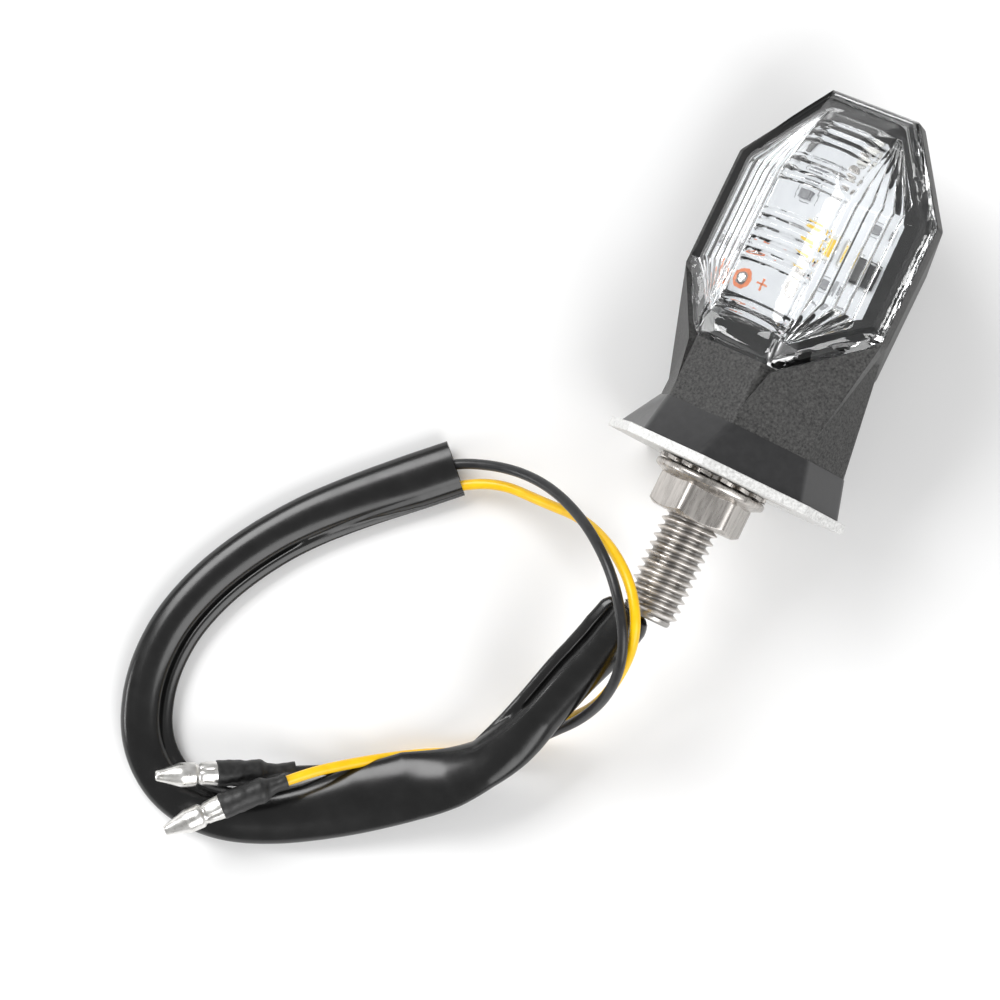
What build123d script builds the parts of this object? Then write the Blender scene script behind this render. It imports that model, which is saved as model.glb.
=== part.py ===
"""Motorcycle turn signal indicator with a hollow M8 stud and a two-wire lead.

The origin is on the stud's axis, in the plane of the base plate's bearing face. +Y runs
from the plate to the tip of the head, the stud points along -Y, and +Z is up from the
surface that the indicator lies on. The head is turned about the stud's axis, so the lens
faces up and towards -X. Its own directions are V (across), Y (along) and N (out of the
lens). Everything is in millimetres.
"""

import math
import os

from build123d import *

os.makedirs("parts", exist_ok=True)

# ---------------------------------------------------------------- driving dimensions
LEAN = 38.0  # degrees from straight up to the direction that the lens faces
REST = 16.8  # from the stud's axis down to the surface that it lies on

# Along the stud's axis, from the plate's bearing face
PLATE_T = 1.35
SKIRT_TOP = 6.9
STUD_END = -21.5
LENS_FOOT = 15.8
LENS_TIP = 53.2

# Lens outline, an octagon that is longer towards the tip
LENS_HALF = 16.8
LENS_END_HALF = 7.2
LENS_LOW_CORNER = 24.8
LENS_HIGH_CORNER = 41.5
LENS_BASE_N = 2.6  # underside of the rim
LENS_RIM_N = 4.05  # top edge of the rim
LENS_BEVEL_N = 5.75  # top of the outer bevel
LENS_BEVEL_W = 3.0
LENS_BAND_HALF = 6.2  # half the width of the raised middle band
LENS_BAND_N = 9.3
LENS_TOP_N = 9.9
LENS_WALL = 1.6
LENS_ARCH_FROM = 38.0  # the roof is level up to here, then falls to the tip
FOOT_SLOPE = (LENS_LOW_CORNER - LENS_FOOT) / (LENS_HALF - LENS_END_HALF)

# Housing
HOUSING_WALL = 0.8  # beyond the lens rim
HOUSING_RIM_N = 3.3
HOUSING_BACK_N = -17.4
LEDGE_N = 2.1  # the gasket's seat

# M8 hardware
STUD_R = 4.0
STUD_BORE_R = 2.3
RELIEF_R = 3.4
BOLT_HEAD_FLATS = 12.6
BOLT_HEAD_H = 4.5
NUT_FLATS = 12.0
NUT_TURN = 6.6  # degrees
FLANGE_R = 8.0
THREAD_GAP = 0.05  # running clearance of the nut and the washer on the stud
WASHER_TOP = -0.05
WASHER_T = 0.75
NUT_END = -7.0

# Lead
WIRE_D = 1.45
SLEEVE_D = 6.0
SHRINK_THIN_R = 1.3
SHRINK_THICK_R = 1.9
SHRINK_GAP = 0.03
BULLET_R = 1.7
BULLET_LENGTH = 8.4

# ---------------------------------------------------------------- frame of the head
ACROSS = Vector(math.cos(math.radians(LEAN)), 0, math.sin(math.radians(LEAN)))
OUT = Vector(-math.sin(math.radians(LEAN)), 0, math.cos(math.radians(LEAN)))
ALONG = Vector(0, 1, 0)
FACE = Plane(origin=(0, 0, 0), x_dir=ACROSS, z_dir=OUT)  # sketches in (V, Y)
PROFILE = Plane(origin=(0, 0, 0), x_dir=ALONG, z_dir=ACROSS)  # sketches in (Y, N)


def section(y):
    """The plane across the stud's axis at y, for sketches in (V, N)."""
    return Plane(origin=(0, y, 0), x_dir=ACROSS, z_dir=(0, -1, 0))


def at_head(v, y, n):
    """The place v across, y along and n out of the lens."""
    return ACROSS * v + ALONG * y + OUT * n


def octagon(half, end_half, foot, low, high, tip):
    """The corners of a head outline, in (V, Y)."""
    return [
        (-end_half, foot), (end_half, foot), (half, low), (half, high),
        (end_half, tip), (-end_half, tip), (-half, high), (-half, low),
    ]


def head_outline(inset):
    """The lens outline moved in by inset all round; a negative inset moves it out."""
    end_inset = inset * 0.45
    corner_inset = inset * 0.35
    return octagon(
        LENS_HALF - inset, LENS_END_HALF - end_inset, LENS_FOOT + inset,
        LENS_LOW_CORNER + corner_inset, LENS_HIGH_CORNER - corner_inset, LENS_TIP - inset,
    )


def both_sides(*right):
    """A closed outline in (V, N) from its right half, listed from the top down."""
    return [*right, *[(-v, n) for v, n in reversed(right)]]


def finish(part, name):
    """Label a sub-part and write it."""
    part.label = name
    export_step(part, f"parts/{name}.step")


# ---------------------------------------------------------------- lens
def lens_block(inset):
    """The space under the lens's outer surface moved in by inset, down past its rim."""
    floor_n = LENS_BASE_N - (1.0 if inset else 0.0)
    rim_n, bevel_n = LENS_RIM_N - inset * 0.6, LENS_BEVEL_N - inset * 0.9
    with BuildPart() as block:
        with BuildSketch(FACE.offset(floor_n)):
            Polygon(*head_outline(inset), align=None)
        extrude(amount=rim_n - floor_n)
        with BuildSketch(FACE.offset(rim_n)):
            Polygon(*head_outline(inset), align=None)
        with BuildSketch(FACE.offset(bevel_n)):
            Polygon(*head_outline(inset + LENS_BEVEL_W), align=None)
        loft(ruled=True)
        # Inside the bevel, which the lower end has none of
        with BuildSketch(FACE.offset(floor_n)):
            Polygon(*head_outline(inset + LENS_BEVEL_W), align=None)
            with BuildLine():
                foot, half = LENS_FOOT + inset, LENS_HALF - inset - LENS_BEVEL_W
                foot_half = LENS_END_HALF - inset * 0.45
                low = LENS_LOW_CORNER + inset * 0.35 - LENS_BEVEL_W * FOOT_SLOPE
                Polyline(
                    (-foot_half, foot), (foot_half, foot), (half, low), (half, 30),
                    (-half, 30), (-half, low), close=True,
                )
            make_face()
            with Locations((0, (LENS_FOOT + LENS_TIP) / 2)):
                Rectangle(2 * (LENS_END_HALF - inset), LENS_TIP - LENS_FOOT - 2 * inset)
        extrude(amount=LENS_TOP_N + 1 - floor_n)
        # Roof across: middle band, then a facet down to the bevel on each side
        side = LENS_HALF + 2
        with BuildSketch(section(LENS_TIP + 1)):
            Polygon(
                *both_sides(
                    (LENS_BAND_HALF * 0.5, LENS_TOP_N - inset),
                    (LENS_BAND_HALF - inset * 0.3, LENS_BAND_N - inset),
                    (LENS_HALF - LENS_BEVEL_W - inset * 0.3, bevel_n),
                    (side, bevel_n - (side - LENS_HALF + LENS_BEVEL_W) * 0.567),
                    (side, floor_n - 1),
                ),
                align=None,
            )
        extrude(amount=LENS_TIP - LENS_FOOT + 2, mode=Mode.INTERSECT)
        # Roof along: level from the foot, then an arch down to the rim at the tip
        with BuildSketch(PROFILE.offset(-side)):
            with BuildLine():
                Polyline(
                    (LENS_TIP - inset, floor_n - 1), (LENS_FOOT + inset, floor_n - 1),
                    (LENS_FOOT + inset, LENS_BAND_N - inset),
                    (LENS_FOOT + 2, LENS_TOP_N - inset), (LENS_ARCH_FROM, LENS_TOP_N - inset),
                )
                TangentArc(
                    (LENS_ARCH_FROM, LENS_TOP_N - inset), (LENS_TIP - inset, rim_n), tangent=(1, 0)
                )
                Line((LENS_TIP - inset, rim_n), (LENS_TIP - inset, floor_n - 1))
            make_face()
        extrude(amount=2 * side, mode=Mode.INTERSECT)
    return block.part


lens_outer = lens_block(0)
# The flange lies on the housing's rim, except where the stalk is
FLANGE_N = 3.36
FLANGE_T = 0.6
FLANGE_FROM = LENS_LOW_CORNER + 0.5
with BuildPart() as lens:
    add(lens_outer)
    with BuildSketch(FACE.offset(FLANGE_N)):
        Polygon(*head_outline(-HOUSING_WALL), align=None)
        with Locations((0, FLANGE_FROM)):
            Rectangle(3 * LENS_HALF, LENS_HALF, align=(Align.CENTER, Align.MAX), mode=Mode.SUBTRACT)
    extrude(amount=FLANGE_T)
    add(lens_block(LENS_WALL), mode=Mode.SUBTRACT)
finish(lens.part, "lens")

# ---------------------------------------------------------------- housing
STALK_LOW = both_sides((5.7, 9.5), (13.15, 1.27), (13.9, -8.0), (5.5, -16.2))
STALK_HIGH = both_sides((5.7, 9.5), (12.5, 1.5), (11.5, -6.5), (4.8, -16.6))
STALK_END = 26.0
SPIGOT = both_sides((5.4, 7.2), (11.6, -0.2), (11.6, -7.4), (4.6, -14.2))
BACK_OUTLINE = octagon(5.0, 3.5, 17.0, 22.0, 36.5, 42.0)
BACK_CHAMFER = octagon(5.7, 4.0, 16.6, 21.5, 37.3, 42.9)
BACK_CHAMFER_N = -16.6
SIDE_N = 1.4
SIDE_BEYOND = 0.5  # the wall here, beyond the lens rim
STALK_BORE_R = 3.5
HEX_CLEARANCE = 0.3
CAVITY_TOP = head_outline(3.0)
CAVITY_WAIST = head_outline(3.9)
CAVITY_FLOOR = octagon(10.4, 5.0, 20.5, 25.5, 39.0, 48.0)
CAVITY_FLOOR_N = -6.0
CAVITY_WAIST_N = 0.2  # the board's seat
BOSS_R = 2.0
BOSS_TOP_N = 0.2
BOSSES = [(0, 27.0), (0, 44.0)]
PILOT_R = 0.8
PLATE_SCREWS = [(-9.6, -2.6), (9.6, -2.6)]  # in (V, N)
PLATE_PILOT_R = 1.1
PLATE_PILOT_L = 5.0
CORNER_R = 0.9
# Shoulder on the side of V > 0, from the stalk out to the lens's lower corner, in (V, Y, N)
SHOULDER_STALK_TOP = (5.65, 9.0, 9.45)
SHOULDER_STALK_LOW = (13.0, 9.0, 1.2)
SHOULDER_FOOT = (7.3, 15.05, 8.95)
SHOULDER_CORNER = (17.55, 24.5, 3.2)
SHOULDER_BOWL = (15.7, 25.2, -0.9)
SHOULDER_CORE = (0, 17.0, 0.5)


def shoulder(side):
    """A faceted shoulder that carries the stalk out to the lens's lower edge."""
    stalk_top, stalk_low, foot, corner, bowl, core = [
        at_head(side * v, y, n)
        for v, y, n in (
            SHOULDER_STALK_TOP, SHOULDER_STALK_LOW, SHOULDER_FOOT,
            SHOULDER_CORNER, SHOULDER_BOWL, SHOULDER_CORE,
        )
    ]
    triangles = [
        (stalk_top, stalk_low, foot), (stalk_low, corner, foot), (stalk_low, bowl, corner),
        (core, stalk_low, stalk_top), (core, bowl, stalk_low), (core, corner, bowl),
        (core, foot, corner), (core, stalk_top, foot),
    ]
    faces = [Face(Wire.make_polygon(corners, close=True)) for corners in triangles]
    solid = Solid(Shell(faces))
    return solid if solid.volume > 0 else Solid(solid.wrapped.Reversed())


with BuildPart() as housing:
    # Bowl of the head
    with BuildSketch(FACE.offset(HOUSING_RIM_N)) as rim_sketch:
        Polygon(*head_outline(-HOUSING_WALL), align=None)
        fillet(rim_sketch.vertices(), CORNER_R)
    with BuildSketch(FACE.offset(SIDE_N)) as side_sketch:
        Polygon(*head_outline(-SIDE_BEYOND), align=None)
        fillet(side_sketch.vertices(), CORNER_R)
    loft(ruled=True)
    with BuildSketch(FACE.offset(SIDE_N)) as side_again:
        Polygon(*head_outline(-SIDE_BEYOND), align=None)
        fillet(side_again.vertices(), CORNER_R)
    with BuildSketch(FACE.offset(BACK_CHAMFER_N)) as chamfer_sketch:
        Polygon(*BACK_CHAMFER, align=None)
        fillet(chamfer_sketch.vertices(), CORNER_R)
    loft(ruled=True)
    with BuildSketch(FACE.offset(BACK_CHAMFER_N)) as chamfer_again:
        Polygon(*BACK_CHAMFER, align=None)
        fillet(chamfer_again.vertices(), CORNER_R)
    with BuildSketch(FACE.offset(HOUSING_BACK_N)) as back_sketch:
        Polygon(*BACK_OUTLINE, align=None)
        fillet(back_sketch.vertices(), CORNER_R)
    loft(ruled=True)
    # Stalk
    with BuildSketch(section(SKIRT_TOP)) as low_sketch:
        Polygon(*STALK_LOW, align=None)
        fillet(low_sketch.vertices(), CORNER_R)
    with BuildSketch(section(STALK_END)) as high_sketch:
        Polygon(*STALK_HIGH, align=None)
        fillet(high_sketch.vertices(), CORNER_R)
    loft(ruled=True)
    add(shoulder(1))
    add(shoulder(-1))
    # Spigot inside the skirt
    with BuildSketch(section(SKIRT_TOP)):
        Polygon(*SPIGOT, align=None)
    extrude(amount=SKIRT_TOP - PLATE_T)
    # Room for the lens, and the cavity under it
    add(lens_outer, mode=Mode.SUBTRACT)
    with BuildSketch(FACE.offset(LEDGE_N)):
        Polygon(*head_outline(0), align=None)
    extrude(amount=LENS_TOP_N, mode=Mode.SUBTRACT)
    with BuildSketch(FACE.offset(CAVITY_WAIST_N)):
        Polygon(*CAVITY_TOP, align=None)
    extrude(amount=LENS_RIM_N, mode=Mode.SUBTRACT)
    with BuildSketch(FACE.offset(CAVITY_WAIST_N)):
        Polygon(*CAVITY_WAIST, align=None)
    with BuildSketch(FACE.offset(CAVITY_FLOOR_N)):
        Polygon(*CAVITY_FLOOR, align=None)
    loft(ruled=True, mode=Mode.SUBTRACT)
    # Screw bosses on the cavity's floor
    with BuildSketch(FACE.offset(CAVITY_FLOOR_N - 1)):
        with Locations(*BOSSES):
            Circle(BOSS_R)
            Circle(PILOT_R, mode=Mode.SUBTRACT)
    extrude(amount=BOSS_TOP_N - CAVITY_FLOOR_N + 1)
    # Bore of the stalk, and the pocket that holds the stud's head
    with BuildSketch(section(PLATE_T)):
        Circle(STALK_BORE_R)
    extrude(amount=-(LENS_FOOT + 8 - PLATE_T), mode=Mode.SUBTRACT)
    with BuildSketch(section(PLATE_T)):
        RegularPolygon(
            (BOLT_HEAD_FLATS + HEX_CLEARANCE) / 2, 6, major_radius=False
        )
    extrude(amount=-(BOLT_HEAD_H + 0.1), mode=Mode.SUBTRACT)
    with BuildSketch(section(PLATE_T)):
        with Locations(*PLATE_SCREWS):
            Circle(PLATE_PILOT_R + 0.02)
    extrude(amount=-PLATE_PILOT_L, mode=Mode.SUBTRACT)
finish(housing.part, "housing")

# ---------------------------------------------------------------- gasket
GASKET_GAP = 0.02
GASKET_INSET = 0.15
# A seal that is also the dark frame round the board: wide on the side of V > 0
GASKET_OPENING = [
    (-6.0, 20.0), (-1.0, 20.4), (12.5, 26.8), (12.2, 40.3), (4.2, 49.6), (-5.0, 49.6),
    (-14.8, 40.6), (-14.8, 27.0),
]
with BuildPart() as lens_gasket:
    with BuildSketch(FACE.offset(LEDGE_N)):
        Polygon(*head_outline(GASKET_INSET), align=None)
        Polygon(*GASKET_OPENING, align=None, mode=Mode.SUBTRACT)
    extrude(amount=LENS_BASE_N - LEDGE_N - GASKET_GAP)
finish(lens_gasket.part, "lens_gasket")

# ---------------------------------------------------------------- circuit board
BOARD_N = 0.2
BOARD_T = 1.2
BOARD_INSET = 3.2
BOARD_TOP = BOARD_N + BOARD_T
PADS = {"yellow": (-8.8, 25.8), "black": (8.4, 25.8)}
PAD_HOLE_R = 0.8
SCREW_R = 0.75

with BuildPart() as circuit_board:
    with BuildSketch(FACE.offset(BOARD_N)):
        Polygon(*head_outline(BOARD_INSET), align=None)
        with Locations(*BOSSES):
            Circle(SCREW_R + 0.1, mode=Mode.SUBTRACT)
        with Locations(*PADS.values()):
            Circle(PAD_HOLE_R, mode=Mode.SUBTRACT)
    extrude(amount=BOARD_T)
finish(circuit_board.part, "circuit_board")

LEDS = [(3.9, 34.0), (-1.4, 35.0), (1.4, 47.6)]
LED_SIZE = (2.8, 3.5, 0.8)
with BuildPart() as leds:
    with BuildSketch(FACE.offset(BOARD_TOP)):
        with Locations(*LEDS):
            Rectangle(LED_SIZE[0], LED_SIZE[1])
    extrude(amount=LED_SIZE[2])
finish(leds.part, "leds")

RESISTORS = [(-5.1, 42.4), (-5.1, 39.6), (9.2, 38.6), (-11.3, 29.6), (5.6, 29.2)]
RESISTOR_SIZE = (2.0, 1.25, 0.5)
with BuildPart() as resistors:
    with BuildSketch(FACE.offset(BOARD_TOP)):
        with Locations(*RESISTORS):
            Rectangle(RESISTOR_SIZE[0], RESISTOR_SIZE[1])
    extrude(amount=RESISTOR_SIZE[2])
finish(resistors.part, "resistors")

DIODE = (9.7, 32.6)
DIODE_SIZE = (2.6, 4.2, 1.5)
with BuildPart() as diode:
    with BuildSketch(FACE.offset(BOARD_TOP)):
        with Locations(DIODE):
            Rectangle(DIODE_SIZE[0], DIODE_SIZE[1])
    extrude(amount=DIODE_SIZE[2])
    chamfer(diode.faces().sort_by(Axis((0, 0, 0), OUT))[-1].edges(), 0.25)
finish(diode.part, "diode")

SOLDER_R = 1.3
SOLDER_H = 0.6
with BuildPart() as solder_joints:
    with BuildSketch(FACE.offset(BOARD_TOP)):
        with Locations(*PADS.values()):
            Circle(SOLDER_R)
    extrude(amount=SOLDER_H)
    chamfer(solder_joints.faces().sort_by(Axis((0, 0, 0), OUT))[-2:].edges(), 0.4)
finish(solder_joints.part, "solder_joints")

SCREW_HEAD_R = 1.5
SCREW_HEAD_H = 0.9
SCREW_LENGTH = 5.5
with BuildPart() as board_screws:
    with BuildSketch(FACE.offset(BOARD_TOP)):
        with Locations(*BOSSES):
            Circle(SCREW_HEAD_R)
    extrude(amount=SCREW_HEAD_H)
    with BuildSketch(FACE.offset(BOARD_TOP)):
        with Locations(*BOSSES):
            Circle(SCREW_R)
    extrude(amount=-SCREW_LENGTH)
finish(board_screws.part, "board_screws")

# ---------------------------------------------------------------- skirt and plate
SKIRT_FOOT = both_sides((5.0, 12.2), (16.3, 2.75), (16.6, -7.2), (5.7, -15.7))
SKIRT_CROWN = both_sides((5.8, 9.7), (13.55, 1.05), (14.1, -8.1), (5.6, -16.0))
SKIRT_GAP = 0.05
PLATE = both_sides((6.7, 13.3), (17.8, 2.9), (17.8, -7.41), (6.17, -16.5))

with BuildPart() as base_skirt:
    with BuildSketch(section(PLATE_T)) as foot_sketch:
        Polygon(*SKIRT_FOOT, align=None)
        fillet(foot_sketch.vertices(), CORNER_R)
    with BuildSketch(section(SKIRT_TOP)) as crown_sketch:
        Polygon(*SKIRT_CROWN, align=None)
        fillet(crown_sketch.vertices(), CORNER_R)
    loft(ruled=True)
    with BuildSketch(section(SKIRT_TOP)) as spigot_hole:
        Polygon(*SPIGOT, align=None)
        offset(amount=SKIRT_GAP, kind=Kind.INTERSECTION)
    extrude(amount=SKIRT_TOP - PLATE_T, mode=Mode.SUBTRACT)
finish(base_skirt.part, "base_skirt")

COUNTERSINK_R = 2.1
COUNTERSINK_H = 1.0
with BuildPart() as base_plate:
    with BuildSketch(section(PLATE_T)):
        Polygon(*PLATE, align=None)
        Circle(STUD_R + 0.1, mode=Mode.SUBTRACT)
        with Locations(*PLATE_SCREWS):
            Circle(PLATE_PILOT_R + 0.1, mode=Mode.SUBTRACT)
    extrude(amount=PLATE_T)
    for v, n in PLATE_SCREWS:
        with BuildSketch(section(0)):
            with Locations((v, n)):
                Circle(COUNTERSINK_R + 0.05)
        extrude(amount=-COUNTERSINK_H - 0.05, taper=45, mode=Mode.SUBTRACT)
finish(base_plate.part, "base_plate")

with BuildPart() as plate_screws:
    for v, n in PLATE_SCREWS:
        with BuildSketch(section(0)):
            with Locations((v, n)):
                Circle(COUNTERSINK_R)
        extrude(amount=-COUNTERSINK_H, taper=45)
        with BuildSketch(section(0)):
            with Locations((v, n)):
                Circle(PLATE_PILOT_R)
        extrude(amount=-PLATE_PILOT_L - PLATE_T + 0.5)
finish(plate_screws.part, "plate_screws")

# ---------------------------------------------------------------- stud, washer and nut
STUD_CHAMFER = 0.7
RELIEF_START = -6.3  # under the nut at rest; the thread's free length starts below it
RELIEF_END = -7.0

with BuildPart() as stud:
    with BuildSketch(section(PLATE_T)):
        RegularPolygon(BOLT_HEAD_FLATS / 2, 6, major_radius=False)
    extrude(amount=-BOLT_HEAD_H)
    with BuildSketch(section(PLATE_T)):
        Circle(STUD_R)
    extrude(amount=PLATE_T - STUD_END)
    chamfer(stud.faces().sort_by(Axis.Y)[0].edges(), STUD_CHAMFER)
    with BuildSketch(section(RELIEF_START)):
        Circle(STUD_R + 1)
        Circle(RELIEF_R, mode=Mode.SUBTRACT)
    extrude(amount=RELIEF_START - RELIEF_END, mode=Mode.SUBTRACT)
    with BuildSketch(section(PLATE_T + BOLT_HEAD_H)):
        Circle(STUD_BORE_R)
    extrude(amount=PLATE_T + BOLT_HEAD_H - STUD_END, mode=Mode.SUBTRACT)
finish(stud.part, "stud")

WASHER_TEETH = 16
WASHER_RING_R = 6.6
WASHER_TIP_R = 7.9
WASHER_BOTTOM = WASHER_TOP - WASHER_T
with BuildPart() as lock_washer:
    with BuildSketch(section(WASHER_TOP)):
        Circle(WASHER_RING_R)
        with PolarLocations(WASHER_RING_R + 0.35, WASHER_TEETH):
            Rectangle(2 * (WASHER_TIP_R - WASHER_RING_R - 0.35), 1.5)
        Circle(STUD_R + THREAD_GAP, mode=Mode.SUBTRACT)
    extrude(amount=WASHER_T)
finish(lock_washer.part, "lock_washer")

NUT_TOP = WASHER_BOTTOM - 0.02
FLANGE_RIM = 1.0
FLANGE_CONE = 0.7
FLANGE_BOTTOM = NUT_TOP - FLANGE_RIM - FLANGE_CONE
HEX_BEVEL_R = NUT_FLATS / 2 + 0.25
with BuildPart() as flange_nut:
    with BuildSketch(section(NUT_TOP)):
        Circle(FLANGE_R)
    extrude(amount=FLANGE_RIM)
    with BuildSketch(section(NUT_TOP - FLANGE_RIM)):
        Circle(FLANGE_R)
    extrude(amount=FLANGE_CONE, taper=55)
    with BuildSketch(section(FLANGE_BOTTOM + 0.5)):
        RegularPolygon(NUT_FLATS / 2, 6, major_radius=False, rotation=LEAN + NUT_TURN)
    extrude(amount=FLANGE_BOTTOM + 0.5 - NUT_END)
    # Round off the hexagon's outer end
    with BuildSketch(section(NUT_TOP)):
        Circle(FLANGE_R + 1)
    extrude(amount=NUT_TOP - NUT_END, mode=Mode.INTERSECT)
    with BuildSketch(Plane.XY):
        with BuildLine():
            Polyline(
                (HEX_BEVEL_R, NUT_END), (FLANGE_R, NUT_END),
                (FLANGE_R, NUT_END + (FLANGE_R - HEX_BEVEL_R) * 0.58),
                (HEX_BEVEL_R, NUT_END), close=False,
            )
        make_face()
    revolve(axis=Axis.Y, mode=Mode.SUBTRACT)
    with BuildSketch(section(NUT_TOP)):
        Circle(STUD_R + THREAD_GAP)
    extrude(amount=NUT_TOP - NUT_END, mode=Mode.SUBTRACT)
finish(flange_nut.part, "flange_nut")

# ---------------------------------------------------------------- inner leads
GROMMET_START = 9.0
GROMMET_LENGTH = 4.0
GROMMET_HOLE_R = 1.75
with BuildPart() as wire_grommet:
    with BuildSketch(section(GROMMET_START + GROMMET_LENGTH)):
        Circle(STALK_BORE_R - 0.02)
        Circle(GROMMET_HOLE_R, mode=Mode.SUBTRACT)
    extrude(amount=GROMMET_LENGTH)
finish(wire_grommet.part, "wire_grommet")


def corner_radii(points):
    """The radius of each corner: 0.45 of its shorter run over the tangent of half its turn."""
    radii = []
    for before, here, after in zip(points, points[1:], points[2:]):
        run_in, run_out = here - before, after - here
        half_turn = math.radians(run_in.get_angle(run_out)) / 2
        radii.append(0.45 * min(run_in.length, run_out.length) / math.tan(half_turn))
    return radii


def tube(points, diameter, name):
    """A round tube along straight runs joined by tangent arcs, with its size printed."""
    points = [Vector(*p) for p in points]
    radii = corner_radii(points)
    with BuildPart() as made:
        with BuildLine() as path:
            FilletPolyline(*points, radius=radii)
        with BuildSketch(Plane(origin=points[0], z_dir=points[1] - points[0])):
            Circle(diameter / 2)
        sweep()
    length = sum(edge.length for edge in path.edges())
    share = made.part.volume / (length * math.pi * diameter**2 / 4)
    print(
        f"{name}: length {length:.1f}, volume share {share:.4f}, "
        f"least radius {min(radii):.1f} = {min(radii) / diameter:.1f} diameters"
    )
    return made.part


INNER_SIDE = {"black": 0.78, "yellow": -0.78}
black_pad, yellow_pad = PADS["black"], PADS["yellow"]
INNER_TURN = 16.0


def inner_lead(color):
    """A wire from the stud's end, through the stalk's bore, to its pad on the board."""
    side, (pad_v, pad_y) = INNER_SIDE[color], PADS[color]
    way = math.copysign(1, pad_v)
    return tube(
        [
            (side, STUD_END, 0), (side, INNER_TURN, 0),
            at_head(way * 1.5, pad_y - 5.2, -2.2), at_head(way * 4.8, pad_y - 1.8, -3.2),
            at_head(pad_v - way * 0.6, pad_y - 0.2, -3.6),
            at_head(pad_v, pad_y, BOARD_N - 0.02),
        ],
        WIRE_D, f"{color}_inner_lead",
    )


black_inner_lead = inner_lead("black")
finish(black_inner_lead, "black_inner_lead")
yellow_inner_lead = inner_lead("yellow")
finish(yellow_inner_lead, "yellow_inner_lead")

# ---------------------------------------------------------------- the free lead
# The sleeve leaves the stud's end, comes down to the surface, rises over the two wires,
# goes round the loop on the surface and ends open, where the wires come out of it.
FLOOR = -REST
SLEEVE_Z = FLOOR + SLEEVE_D / 2
SLEEVE_ROUTE = [
    (0, STUD_END, 0), (0, -25.5, 0), (-4.4, -32.0, -2.8), (-6.4, -38.8, -5.2),
    (-8.6, -45.6, -7.2), (-13.2, -52.8, -9.0), (-19.4, -58.6, -11.2), (-26.6, -64.4, -13.0),
    (-34.0, -69.2, SLEEVE_Z), (-41.0, -71.9, SLEEVE_Z), (-48.2, -71.6, SLEEVE_Z),
    (-54.2, -67.2, SLEEVE_Z), (-57.2, -60.0, SLEEVE_Z), (-57.6, -52.2, SLEEVE_Z),
    (-55.9, -45.0, SLEEVE_Z), (-52.6, -37.8, SLEEVE_Z), (-47.8, -30.6, SLEEVE_Z),
    (-42.0, -24.2, SLEEVE_Z), (-36.6, -18.9, SLEEVE_Z), (-32.0, -14.4, SLEEVE_Z + 0.2),
]
pvc_sleeve = tube(SLEEVE_ROUTE, SLEEVE_D, "pvc_sleeve")
finish(pvc_sleeve, "pvc_sleeve")

# Both wires rise over the sleeve beside the stud's end, go down outside the loop, pass
# under the sleeve and rise again to lie across it at the far side.
WIRE_Z = FLOOR + WIRE_D / 2
BLACK_ROUTE = [
    (-33.8, -14.2, SLEEVE_Z + 0.6), (-26.4, -11.3, -10.4), (-19.8, -10.9, -5.4),
    (-13.6, -13.0, 0.8), (-8.2, -16.8, 6.8), (-4.2, -21.2, 8.8), (-0.9, -26.6, 8.2),
    (0.6, -32.3, 3.8), (-0.3, -37.7, -4.6), (-3.5, -42.4, -11.8), (-7.8, -46.9, -15.6),
    (-12.6, -51.4, WIRE_Z), (-18.8, -54.2, WIRE_Z + 0.1), (-25.4, -57.5, -15.4),
    (-32.9, -61.2, -13.4), (-43.3, -66.5, -10.2),
]
YELLOW_ROUTE = [
    (-32.9, -17.0, SLEEVE_Z - 0.4), (-26.0, -13.4, -13.4), (-19.2, -13.4, -9.4),
    (-13.0, -13.0, -3.2), (-7.6, -15.2, 4.0), (-3.2, -19.0, 8.0), (0.2, -24.0, 8.2),
    (1.6, -29.6, 3.8), (0.8, -35.0, -4.6), (-2.4, -39.7, -11.2), (-7.0, -44.3, -15.4),
    (-12.8, -48.9, WIRE_Z), (-19.2, -52.1, WIRE_Z + 0.2), (-26.2, -56.5, -12.6),
    (-33.4, -61.9, -8.6), (-40.6, -70.1, -8.1),
]
BLACK_SHRINK = 11.0
YELLOW_SHRINK = 9.6
SHRINK_STEP = 6.6  # length of the thick end, over the terminal's crimp


def cord_end(route):
    """The place and direction of a route's last run, at its end."""
    end, before = Vector(*route[-1]), Vector(*route[-2])
    return end, (end - before).normalized()


def heat_shrink(route, length):
    """A stepped shrink tube round the last part of a wire."""
    end, way = cord_end(route)
    with BuildPart() as made:
        with BuildSketch(Plane(origin=end, z_dir=way * -1)):
            Circle(SHRINK_THICK_R)
        extrude(amount=SHRINK_STEP)
        with BuildSketch(Plane(origin=end, z_dir=way * -1)):
            Circle(SHRINK_THIN_R)
        extrude(amount=length)
        with BuildSketch(Plane(origin=end, z_dir=way * -1)):
            Circle(WIRE_D / 2 + SHRINK_GAP)
        extrude(amount=length, mode=Mode.SUBTRACT)
    return made.part


CRIMP_LENGTH = 2.3
WAIST_LENGTH = 0.4
BARREL_LENGTH = 2.4
WAIST_R = 1.45
TIP_R = 0.75
TIP_HOLE_R = 0.4
TIP_HOLE_DEPTH = 2.0


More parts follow.
